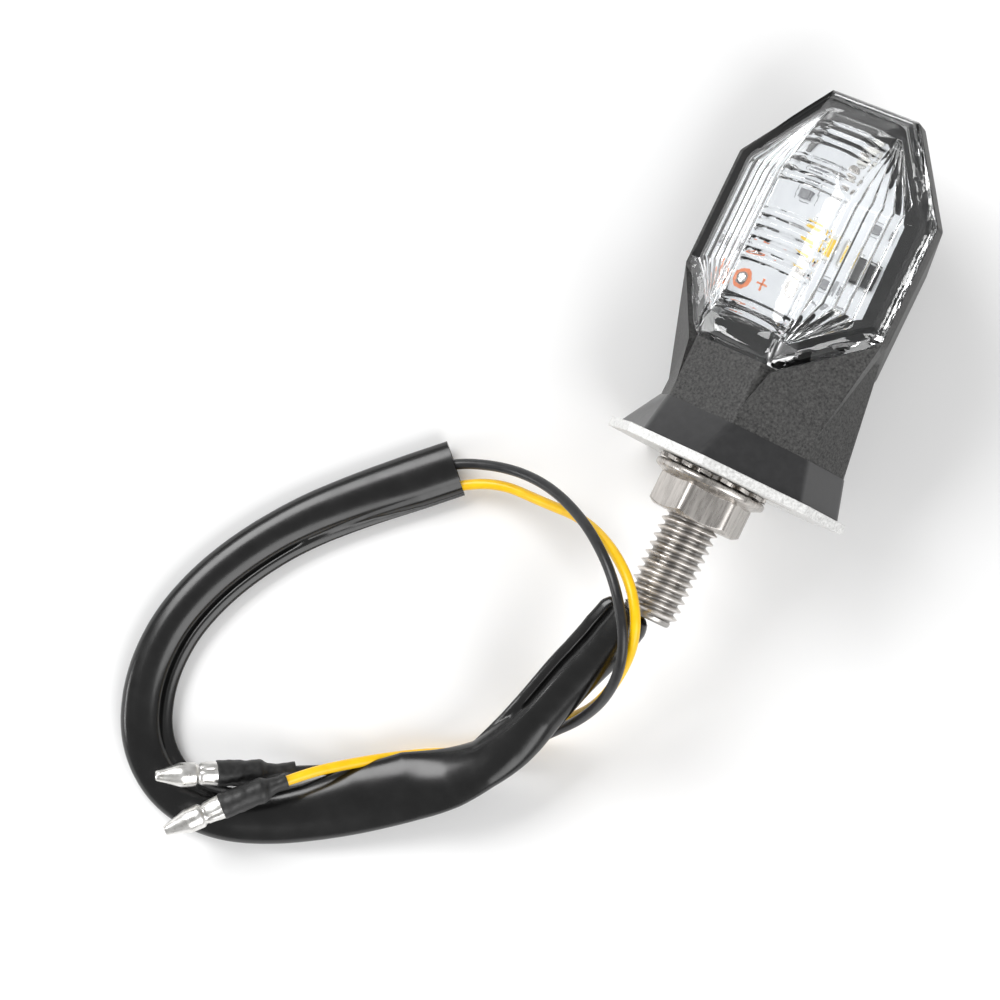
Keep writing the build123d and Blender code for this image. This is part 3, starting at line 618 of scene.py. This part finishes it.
stud_head = hexagon(stud_angle, HEAD_APOTHEM, HEAD_TURN, 0.3)
stud_profile = [
    (-5.85, hexagon(stud_angle, HEAD_APOTHEM - 0.7, HEAD_TURN, 0.3)), (-5.45, stud_head),
    (-1.35, stud_head), (-1.35, THREAD_R), (0.2, THREAD_R),
]
for s in np.arange(0.3, 20.75, THREAD_PITCH / 15):
    limit = RUNOUT_R + max(0.0, RUNOUT_AT - s) * RUNOUT_SLOPE
    stud_profile.append((s, smooth_min(thread_radius(s), limit, 0.12)))
stud_profile += [(20.8, 3.38), (21.0, 3.36), (21.2, 3.34), (21.35, 3.26), (21.45, 3.14), (21.5, 2.98)]
stud_profile += [(21.5, 2.55), (21.42, 2.4), (21.2, STUD_BORE_R), (-5.85, STUD_BORE_R)]
stud_rings = turned(stud_profile, STUD_COLUMNS)
make(
    "threaded_stud", stud_rings, loft_faces(len(stud_rings), STUD_COLUMNS, True), thread_steel,
    slot="steel_bright", stands_for=["stud"], sharp=50,
)

# ---------------------------------------------------------------- nut and washer
NUT_COLUMNS = 180
NUT_TOP, NUT_END = 0.82, 7.0  # along the stud
NUT_HOLE_R = 4.08
NUT_APOTHEM, NUT_TURN = 6.0, math.radians(53.4)
CHAMFER_R, CHAMFER_SLOPE = 5.82, 1.6  # of the hexagon's corners at the nut's end
NECK_AT, NECK_R, NECK_SLOPE = 2.05, 6.1, 1.2  # where the hexagon grows out of the flange
NUT_FLANGE = np.array([
    (NUT_TOP, 7.5), (0.9, 7.72), (1.02, 7.9), (1.2, 7.99), (1.45, 8.0), (1.7, 7.95), (1.86, 7.84),
    (1.98, 7.66), (2.08, 7.4), (2.5, 6.5), (2.9, 5.0),
])
nut_hex = hexagon(once_round(NUT_COLUMNS), NUT_APOTHEM, NUT_TURN, 0.2)
nut_profile = [(1.5, NUT_HOLE_R), (NUT_TOP, 4.6), (NUT_TOP, 6.0), (NUT_TOP, 7.3)]
nut_levels = [
    np.arange(0.83, 3.0, 0.055), np.arange(3.0, 6.0, 0.3), np.arange(6.0, NUT_END, 0.05)
]
for s in np.concatenate(nut_levels):
    flange = np.interp(s, NUT_FLANGE[:, 0], NUT_FLANGE[:, 1])
    chamfer = CHAMFER_R + (NUT_END - s) * CHAMFER_SLOPE
    neck = NECK_R + max(0.0, s - NECK_AT) * NECK_SLOPE
    body = smooth_min(smooth_min(nut_hex, chamfer, 0.12), neck, 0.1)
    nut_profile.append((s, smooth_max(body, flange, 0.12)))
nut_profile += [(6.99, 5.7), (NUT_END, 5.55), (NUT_END, 4.75), (6.5, NUT_HOLE_R)]
nut_rings = turned(nut_profile, NUT_COLUMNS)
make(
    "hex_flange_nut", nut_rings, loft_faces(len(nut_rings), NUT_COLUMNS, True), steel,
    body="flange_nut", slot="steel_bright", stands_for=["flange_nut"], sharp=40,
)

WASHER_TEETH = 16
WASHER_COLUMNS = WASHER_TEETH * 16
WASHER_HOLE_R, WASHER_RING_R = 4.1, 6.3
TOOTH_LENGTH, TOOTH_HALF, TOOTH_TWIST = 1.55, 0.36, 0.13  # TOOTH_HALF is a share of the spacing
WASHER_LEVELS = (-0.18, -0.68)
washer_angle = once_round(WASHER_COLUMNS)
tooth_phase = (washer_angle * WASHER_TEETH / (2 * math.pi)) % 1
tooth = np.clip((TOOTH_HALF - np.abs(tooth_phase - 0.5)) / 0.06, 0, 1)
washer_rows = [
    (np.full(WASHER_COLUMNS, WASHER_HOLE_R + (WASHER_RING_R - WASHER_HOLE_R) * share), 0.0)
    for share in (0.0, 0.25, 0.5, 0.75, 1.0)
]
washer_rows += [
    (WASHER_RING_R + TOOTH_LENGTH * tooth * share, TOOTH_TWIST * share)
    for share in (0.33, 0.66, 0.92, 1.0)
]
top_rings, bottom_rings = [], []
for radius, lift in washer_rows:
    twist = lift * (tooth_phase - 0.5) * 2 * tooth
    for rings, level in zip((top_rings, bottom_rings), WASHER_LEVELS):
        rings.append(np.stack([
            radius * np.cos(washer_angle), level + twist, radius * np.sin(washer_angle)], 1))
washer_rings = np.array(top_rings + bottom_rings[::-1])
make(
    "toothed_washer", washer_rings, loft_faces(len(washer_rings), WASHER_COLUMNS, True), steel,
    body="lock_washer", slot="steel_bright", stands_for=["lock_washer"], sharp=40,
)

# ---------------------------------------------------------------- lens
# Its outlines are given by their right half, as (across, along); N is the way out of the lens.
FOOT, TIP, LOW, HIGH = 15.8, 53.2, 24.8, 41.5  # its ends along Y, and its four side corners
HALF, END_HALF = 16.8, 7.2  # half its width between LOW and HIGH, and at its ends
FLANGE = 0.72  # how far the rim's flange reaches beyond the part that drops into the housing
FLANGE_N = 3.36
RIM_N, BEVEL_N, BEVEL_W = 4.05, 5.75, 3.0  # the outer bevel's foot, its top and its width
BAND_HALF, BAND_N, TOP_N = 6.2, 9.3, 9.9  # the crowned middle band's edge and its crown
BASE_N = 2.62
LENS_WALL = 1.5
ARCH_FROM = 38.0  # from here the band curves down to the tip
ARCH_R = ((TIP - ARCH_FROM) ** 2 + (TOP_N - RIM_N) ** 2) / (2 * (TOP_N - RIM_N))
FACET_SLOPE = (BAND_N - BEVEL_N) / (HALF - BEVEL_W - BAND_HALF)
SHAPE = [(END_HALF, FOOT), (HALF, LOW), (HALF, HIGH), (END_HALF, TIP)]
# The rim's outline, that of the wall that drops into the housing, and that of the inner surface
OUTER = [
    (END_HALF, FOOT + 0.05), (HALF + FLANGE, LOW + 0.35), (HALF + FLANGE, HIGH + 0.25),
    (END_HALF + 0.32, TIP + FLANGE),
]
DROP = [(END_HALF, FOOT + 0.1), (HALF - 0.04, LOW), (HALF - 0.04, HIGH), (END_HALF, TIP - 0.05)]
INNER = [(6.7, 19.4), (15.1, 26.4), (15.1, 40.9), (6.6, 50.6)]
ROWS = (44, 70, 62)  # rows of the mesh along the low corners, the sides and the tip
FLUTES = 6
FLUTE_COLUMNS = 9
BAND_COLUMNS = 44
EDGE_COLUMNS = 5
PAINTED_EDGE = 2.3
# On the left the rim has no flange: from LEFT_FROM outwards the outlines are moved to end here
LEFT_FROM = 12.0
LEFT_OUTER, LEFT_INNER = HALF + 0.05, 15.9
# Ridges along the rim, as (height, distance in from the edge, width)
RIM_BEADS = ((0.16, 0.34, 0.2), (-0.3, 0, 0.14), (0.2, 1.15, 0.24))
# Flutes across the middle band, as (from, to, spacing, depth)
BAND_FLUTES = (
    (20.2, 23.2, 1.5, 0.34), (27.8, 35.9, 1.62, 0.36), (39.8, 44.15, 1.45, 0.34),
    (45.8, 49.55, 1.25, 0.36),
)
BAND_BOW = 0.011  # how far the band's flutes curve towards the foot, for each square mm across
FACET_FLUTE_DEPTH = 0.42
FACET_FLUTES_TO = 12.8  # further right the lens is plain, and the black wall shows behind it


def edge_distance(v, y, a, b):
    """How far (|v|, y) is inside the line from a to b."""
    dv, dy = b[0] - a[0], b[1] - a[1]
    length = math.hypot(dv, dy)
    return -((np.abs(v) - a[0]) * dy - (y - a[1]) * dv) / length


def roof(v, y):
    """The lens's outer surface without its rounded foot and beads, as N."""
    across = np.abs(v)
    crown = TOP_N - (TOP_N - BAND_N) * (across / BAND_HALF) ** 2
    facet = BAND_N - FACET_SLOPE * (across - BAND_HALF)
    over = np.clip(y - ARCH_FROM, 0, ARCH_R - 0.5)
    arch = TOP_N - (ARCH_R - np.sqrt(ARCH_R**2 - over**2))
    inside = np.minimum(
        edge_distance(v, y, SHAPE[1], SHAPE[2]), edge_distance(v, y, SHAPE[2], SHAPE[3])
    )
    bevel = RIM_N + (BEVEL_N - RIM_N) / BEVEL_W * inside
    top = smooth_min(np.where(across < BAND_HALF, crown, facet), arch, 0.35)
    return smooth_max(smooth_min(top, bevel, 0.3), RIM_N - 0.1, 0.12)


def outer_surface(v, y):
    """The lens's outer surface, with its bull-nosed foot and the beads along its rim."""
    side = edge_distance(v, y, OUTER[1], OUTER[2])
    upper = edge_distance(v, y, OUTER[2], OUTER[3])
    lower = edge_distance(v, y, OUTER[0], OUTER[1])
    rim = np.minimum(np.minimum(side, upper), OUTER[3][1] - y)
    bead = sum(height * bell(rim, place, width) for height, place, width in RIM_BEADS)
    foot = y - FOOT
    nose = 0.75 * bell(foot, 3.2, 2.2) * np.clip((9 - np.abs(v)) / 3, 0, 1)
    nose -= 1.0 * np.clip(1 - foot / 1.6, 0, 1) ** 2
    nose += 0.25 * bell(lower, 0.75, 0.3) - 0.7 * np.clip(1 - lower / 0.7, 0, 1) ** 2
    fade = np.clip((50 - y) / 4, 0, 1)
    ridge = (0.16 * bell(np.abs(v), BAND_HALF, 0.28) + 0.1 * bell(np.abs(v), 6.95, 0.2)) * fade
    return roof(v, y) + bead + nose + ridge


def scallop(x):
    """Flutes with sharp valleys: 0 between them and 1 in their middle."""
    return np.abs(np.sin(math.pi * x))


def in_span(y, low, high, soft=0.35):
    """1 between low and high, falling to 0 outside."""
    return np.clip((y - low) / soft, 0, 1) * np.clip((high - y) / soft, 0, 1)


def inner_surface(v, y, facet_share):
    """The inside of the lens: flutes across the middle band and along the side facets."""
    across = np.abs(v)
    band = np.clip((5.7 - across) / 0.12, 0, 1)
    bowed = y + BAND_BOW * v**2
    cross = sum(
        scallop((bowed - low) / pitch) * depth * in_span(bowed, low, high)
        for low, high, pitch, depth in BAND_FLUTES
    )
    facets = scallop(facet_share * FLUTES) * FACET_FLUTE_DEPTH
    facets = facets * np.clip((across - 5.95) / 0.12, 0, 1)
    facets = facets * np.clip((FACET_FLUTES_TO - v) / 0.4, 0, 1)
    groove = 0.35 * bell(across, 5.82, 0.16)
    return roof(v, y) - LENS_WALL - band * cross - facets - groove


def lens_grid(corners, inner):
    """Rows of (v, y, share of the way across a facet) over an outline given by its right half."""
    rows = []
    for a, b, count in zip(corners, corners[1:], ROWS):
        last = b == corners[-1]
        for t in np.linspace(0, 1, count + last, endpoint=last):
            half, y = a[0] + (b[0] - a[0]) * t, a[1] + (b[1] - a[1]) * t
            band = min(5.85 if inner else BAND_HALF, half * 0.86)
            edge = half - (half - band) * (0.06 if inner else 0.3)
            right = np.concatenate([
                np.linspace(0, band, BAND_COLUMNS // 2, endpoint=False),
                np.linspace(band, edge, FLUTES * FLUTE_COLUMNS, endpoint=False),
                np.linspace(edge, half, EDGE_COLUMNS),
            ])
            share = np.clip((right - band) / (edge - band), 0, 1)
            v = np.concatenate([-right[:0:-1], right])
            share = np.concatenate([share[:0:-1], share])
            rows.append((v, np.full_like(v, y), share))
    return [np.array(part) for part in zip(*rows)]


def left_edge(v, edge, wanted):
    """The same v with its left edge moved, from LEFT_FROM outwards."""
    scale = (wanted - LEFT_FROM) / (edge - LEFT_FROM)
    return np.where(v < -LEFT_FROM, -LEFT_FROM + (v + LEFT_FROM) * scale, v)


outer_v, outer_y, _ = lens_grid(OUTER, False)
inner_v, inner_y, inner_share = lens_grid(INNER, True)
outer_n = outer_surface(outer_v, outer_y)
outer_v = left_edge(outer_v, HALF + FLANGE, LEFT_OUTER)
inner_v = left_edge(inner_v, INNER[1][0], LEFT_INNER)
inner_n = inner_surface(inner_v, inner_y, inner_share)
lens_rows, lens_columns = outer_v.shape


def boundary(rows, columns):
    """The edge of a grid, once round, as (row, column)."""
    return [
        *[(0, j) for j in range(columns)], *[(i, columns - 1) for i in range(1, rows)],
        *[(rows - 1, j) for j in range(columns - 2, -1, -1)], *[(i, 0) for i in range(rows - 2, 0, -1)],
    ]


edge_loop = boundary(lens_rows, lens_columns)
per_grid = lens_rows * lens_columns
lens_points = [
    at_head(outer_v, outer_y, outer_n).reshape(-1, 3), at_head(inner_v, inner_y, inner_n).reshape(-1, 3)
]
lens_faces = []
for base in (0, per_grid):
    for i in range(lens_rows - 1):
        for j in range(lens_columns - 1):
            a = base + i * lens_columns + j
            lens_faces.append((a, a + 1, a + lens_columns + 1, a + lens_columns))
outer_loop = [i * lens_columns + j for i, j in edge_loop]
inner_loop = [per_grid + i * lens_columns + j for i, j in edge_loop]
drop_v, drop_y, _ = lens_grid(DROP, False)


# From the outer surface's edge down the rim's flange and the wall, and up to the inner surface
loops = [outer_loop]
for grid_v, grid_y, level in (
    (outer_v, outer_y, FLANGE_N), (drop_v, drop_y, FLANGE_N - 0.04), (drop_v, drop_y, BASE_N),
    (inner_v, inner_y, BASE_N),
):
    start = sum(len(part) for part in lens_points)
    lens_points.append(at_head(
        np.array([grid_v[i, j] for i, j in edge_loop]), np.array([grid_y[i, j] for i, j in edge_loop]),
        level,
    ))
    loops.append(range(start, start + len(edge_loop)))
loops.append(inner_loop)
for first, second in zip(loops, loops[1:]):
    for k in range(len(edge_loop)):
        m = (k + 1) % len(edge_loop)
        lens_faces.append((first[k], first[m], second[m], second[k]))
fluted_lens = make(
    "fluted_lens", np.concatenate(lens_points), lens_faces, [lens_clear, rubber_black],
    slot="clear_lens", stands_for=["lens"], sharp=30,
)
# The black edge on its left and upper left, which hides the wall behind it
for face in fluted_lens.data.polygons:
    middle = np.array(face.center) / MM
    v, y, n = middle @ ACROSS, middle[1], middle @ OUT
    edge = min(
        edge_distance(v, y, (LEFT_OUTER, LOW), (LEFT_OUTER, HIGH)),
        edge_distance(v, y, OUTER[2], OUTER[3]),
    )
    on_left = v < -END_HALF and y > LOW + 1
    on_top = n > FLANGE_N - 0.3 and face.normal @ Vector(OUT) > 0.1
    if on_left and on_top and edge < PAINTED_EDGE:
        face.material_index = 1


# ---------------------------------------------------------------- on the board
BOARD_TOP = 1.4


def box_on_board(v, y, size, base=BOARD_TOP, bevel=0.08):
    """The points and faces of a box with chamfered top edges, standing on the board."""
    w, d, h = size[0] / 2, size[1] / 2, size[2]
    right, back = np.array([-1, 1, 1, -1]), np.array([-1, -1, 1, 1])
    rings = [
        at_head(v + right * (w - inset), y + back * (d - inset), n)
        for inset, n in ((0, base), (0, base + h - bevel), (bevel, base + h))
    ]
    return np.array(rings).reshape(-1, 3), capped(loft_faces(3, 4, False), 3, 4)


def dome_on_board(v, y, radius, height, hole=0.0, columns=32):
    """A low dome, or a flat ring if it has a hole."""
    angle = once_round(columns)
    shape = [(1, 0), (0.97, 0.25), (0.88, 0.55), (0.7, 0.82), (0.45, 0.97), (0.2, 1.0)]
    if hole:
        shape = [(1, 0), (1, 0.8), (0.97, 1), (hole + 0.03, 1), (hole, 0.8), (hole, 0)]
    rings = np.array([
        at_head(v + radius * r * np.cos(angle), y + radius * r * np.sin(angle),
                np.full(columns, BOARD_TOP + height * h))
        for r, h in shape
    ])
    faces = loft_faces(len(rings), columns, bool(hole))
    return rings.reshape(-1, 3), faces if hole else capped(faces, len(rings), columns)


def join(parts):
    """The points and faces of several shapes as one mesh, with a material number for each face."""
    points, faces, numbers, count = [], [], [], 0
    for (p, f), number in parts:
        points.append(np.asarray(p).reshape(-1, 3))
        faces += [tuple(i + count for i in face) for face in f]
        numbers += [number] * len(f)
        count += len(points[-1])
    return np.concatenate(points), faces, numbers


def make_joined(name, parts, materials, **more):
    """A mesh piece from several shapes, each with the number of its material."""
    points, faces, numbers = join(parts)
    piece = make(name, points, faces, materials, **more)
    if len(piece.data.polygons) == len(numbers):
        piece.data.polygons.foreach_set("material_index", numbers)
    return piece


# Each chip's place, and the material of its top: 0 is the body's, 1 the phosphor
LEDS = [(3.9, 34.0, 1), (-1.4, 35.0, 1), (1.4, 47.6, 0)]
LED_H = 0.7
led_parts = []
for v, y, top in LEDS:
    led_parts.append((box_on_board(v, y, (2.8, 3.5, LED_H)), 0))
    led_parts.append((box_on_board(v, y, (2.1, 2.5, 0.1), BOARD_TOP + LED_H, 0.03), top))
    for end in (-1, 1):
        led_parts.append((box_on_board(v, y + end * 1.95, (2.2, 0.45, 0.12), bevel=0.04), 2))
make_joined(
    "led_chips", led_parts, [led_body, led_phosphor, solder], slot="led_yellow", stands_for=["leds"]
)

RESISTORS = [(-5.1, 42.4), (-5.1, 39.6), (9.2, 38.6), (-11.3, 29.6), (5.6, 29.2)]
resistor_parts = []
for v, y in RESISTORS:
    resistor_parts.append((box_on_board(v, y, (1.3, 1.25, 0.5)), 0))
    for end in (-1, 1):
        resistor_parts.append((box_on_board(v + end * 0.83, y, (0.36, 1.25, 0.48), bevel=0.06), 1))
make_joined(
    "chip_resistors", resistor_parts, [chip_grey, solder], slot="chip_grey", stands_for=["resistors"]
)

DIODE_V, DIODE_Y = 9.7, 32.6
diode_parts = [(box_on_board(DIODE_V, DIODE_Y, (2.6, 3.6, 1.4), bevel=0.2), 0)]
diode_parts.append((box_on_board(DIODE_V, DIODE_Y + 1.5, (2.62, 0.3, 1.36), bevel=0.16), 1))
for end in (-1, 1):
    diode_parts.append((box_on_board(DIODE_V, DIODE_Y + end * 2.05, (1.5, 0.6, 0.2), bevel=0.05), 1))
make_joined(
    "diode_package", diode_parts, [chip_black, solder], slot="chip_black", stands_for=["diode"]
)

PADS = {"yellow": (-8.8, 25.8), "black": (8.4, 25.8)}
solder_parts = [(dome_on_board(v, y, 1.0, 0.55), 0) for v, y in PADS.values()]
make_joined("solder_domes", solder_parts, [solder], slot="solder", stands_for=["solder_joints"])
# Rings round the pads, a plain plus and a plain bar beside them, and frames round chips
mark_parts = [
    (dome_on_board(*PADS["yellow"], 1.55, 0.05, hole=0.66), 0),
    (dome_on_board(*PADS["black"], 1.55, 0.05, hole=0.8), 1),
    (box_on_board(-5.4, 26.0, (1.9, 0.3, 0.05), bevel=0.01), 0),
    (box_on_board(-5.4, 26.0, (0.3, 1.9, 0.05), bevel=0.01), 0),
    (box_on_board(5.0, 26.0, (1.5, 0.3, 0.05), bevel=0.01), 1),
]
for v, y, w, d in (
    (-5.1, 41.0, 3.4, 4.9), (9.2, 38.6, 3.2, 2.2), (-11.3, 29.6, 3.2, 2.2), (5.6, 29.2, 3.2, 2.2),
):
    for side in (-1, 1):
        mark_parts.append((box_on_board(v + side * w / 2, y, (0.14, d, 0.03), bevel=0.01), 1))
        mark_parts.append((box_on_board(v, y + side * d / 2, (w * 0.5, 0.14, 0.03), bevel=0.01), 1))
make_joined("board_marks", mark_parts, [mark_orange, mark_grey], slot="board_white")


# ---------------------------------------------------------------- mouldings
SHARP_FROM = math.radians(24)  # edges that turn by more than this are rounded
FLAT_WITHIN = math.radians(1.5)  # faces that turn by less than this become one
NODE_WELD = 2e-6  # in metres


def softened(node, name, mat, radius):
    """A copy of a CAD node with its sharp edges rounded, which stands for it."""
    bm = bmesh.new()
    bm.from_mesh(NODES[node].data)
    bmesh.ops.remove_doubles(bm, verts=bm.verts, dist=NODE_WELD)
    bmesh.ops.dissolve_limit(
        bm, angle_limit=FLAT_WITHIN, verts=bm.verts, edges=bm.edges, delimit={"NORMAL"}
    )
    bm.normal_update()
    sharp_edges = [
        e for e in bm.edges if len(e.link_faces) == 2 and e.calc_face_angle() > SHARP_FROM
    ]
    bmesh.ops.bevel(
        bm, geom=sharp_edges, offset=radius * MM, offset_type="OFFSET", segments=3,
        profile=0.5, affect="EDGES", clamp_overlap=True,
    )
    mesh = bpy.data.meshes.new(name)
    bm.to_mesh(mesh)
    bm.free()
    mesh.materials.append(mat)
    mesh.shade_smooth()
    mesh.set_sharp_from_angle(angle=math.radians(40))
    piece = bpy.data.objects.new(name, mesh)
    bpy.context.scene.collection.objects.link(piece)
    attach(piece, "root")
    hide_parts(node)
    normals = piece.modifiers.new("normals", "WEIGHTED_NORMAL")
    normals.keep_sharp = True


softened("housing", "head_and_stalk", abs_black, 0.14)


def rounded(corners, radius, steps=9):
    """A closed outline from its corners, each rounded to the radius."""
    corners = np.array(corners)
    outline = []
    for before, corner, after in zip(np.roll(corners, 1, 0), corners, np.roll(corners, -1, 0)):
        back = (before - corner) / np.linalg.norm(before - corner)
        on = (after - corner) / np.linalg.norm(after - corner)
        half_angle = math.acos(back @ on) / 2
        middle = corner + (back + on) / np.linalg.norm(back + on) * radius / math.sin(half_angle)
        first = corner + back * radius / math.tan(half_angle) - middle
        last = corner + on * radius / math.tan(half_angle) - middle
        for share in np.linspace(0, 1, steps):
            arm = first * (1 - share) + last * share
            outline.append(middle + arm / np.linalg.norm(arm) * radius)
    return np.array(outline)


def both_sides(*right):
    """A closed outline from its right half, listed from the top down."""
    return [*right, *[(-v, n) for v, n in reversed(right)]]


PLATE_T, SKIRT_TOP = 1.35, 6.9
SKIRT_EDGE = 0.12  # height of the chamfers at its foot and crown
SKIRT_INSET = 1 - SKIRT_EDGE / 14  # the scale of an outline that is chamfered by as much
SKIRT_CORNER = 1.7
skirt_foot = rounded(both_sides((5.0, 12.2), (16.3, 2.75), (16.6, -7.2), (5.7, -15.7)), SKIRT_CORNER)
skirt_crown = rounded(both_sides((5.8, 9.7), (13.55, 1.05), (14.1, -8.1), (5.6, -16.0)), SKIRT_CORNER)
skirt_hole = rounded(both_sides((5.45, 7.25), (11.65, -0.2), (11.65, -7.4), (4.65, -14.25)), 0.3)
skirt_rings = []
for outline, scale, y in (
    (skirt_foot, SKIRT_INSET, PLATE_T), (skirt_foot, 1, PLATE_T + SKIRT_EDGE),
    (skirt_crown, 1, SKIRT_TOP - SKIRT_EDGE), (skirt_crown, SKIRT_INSET, SKIRT_TOP),
    (skirt_hole, 1, SKIRT_TOP), (skirt_hole, 1, PLATE_T),
):
    skirt_rings.append(at_head(outline[:, 0] * scale, y, outline[:, 1] * scale))
make(
    "flared_skirt", np.array(skirt_rings),
    loft_faces(len(skirt_rings), len(skirt_foot), True), skirt_black, slot="skirt_black",
    stands_for=["base_skirt"], sharp=40,
)
softened("base_plate", "bearing_plate", plate_silver, 0.12)

for node, mat in {
    "lens_gasket": rubber_black, "circuit_board": board_white, "board_screws": steel,
    "plate_screws": steel, "wire_grommet": rubber_black, "black_inner_lead": wire_black,
    "yellow_inner_lead": wire_yellow,
}.items():
    NODES[node].data.materials.clear()
    NODES[node].data.materials.append(mat)

# ---------------------------------------------------------------- floor and light
floor_mesh = bpy.data.meshes.new("floor")
floor_mesh.from_pydata([(-3, -3, 0), (3, -3, 0), (3, 3, 0), (-3, 3, 0)], [], [(0, 1, 2, 3)])
floor_mesh.materials.append(
    surface("floor_white", (0.90, 0.90, 0.90), (0.93, 0.93, 0.93), 3, (0.6, 0.7))
)
floor = bpy.data.objects.new("floor", floor_mesh)
floor.location.z = FLOOR * MM
bpy.context.scene.collection.objects.link(floor)

world = bpy.data.worlds.new("studio")
world.use_nodes = True
world.node_tree.nodes["Background"].inputs["Color"].default_value = (1, 1, 1, 1)
world.node_tree.nodes["Background"].inputs["Strength"].default_value = 0.42
bpy.context.scene.world = world
bpy.context.scene.view_settings.view_transform = "Standard"

SUBJECT = Vector((-0.01, 0.0, 0.0))


def softbox(name, place, size, power):
    """A rectangular area light aimed at the subject, in metres and watts."""
    data = bpy.data.lights.new(name, "AREA")
    data.shape = "RECTANGLE"
    data.size, data.size_y = size
    data.energy = power
    lamp = bpy.data.objects.new(name, data)
    lamp.location = place
    lamp.rotation_euler = (SUBJECT - Vector(place)).to_track_quat("-Z", "Y").to_euler()
    bpy.context.scene.collection.objects.link(lamp)


softbox("key", (-0.71, 0.30, 0.71), (0.62, 0.56), 8.5)
softbox("fill", (0.68, -0.40, 0.72), (0.9, 0.8), 8.0)
softbox("low_strip", (-0.86, -0.42, 0.13), (0.34, 0.10), 1.2)
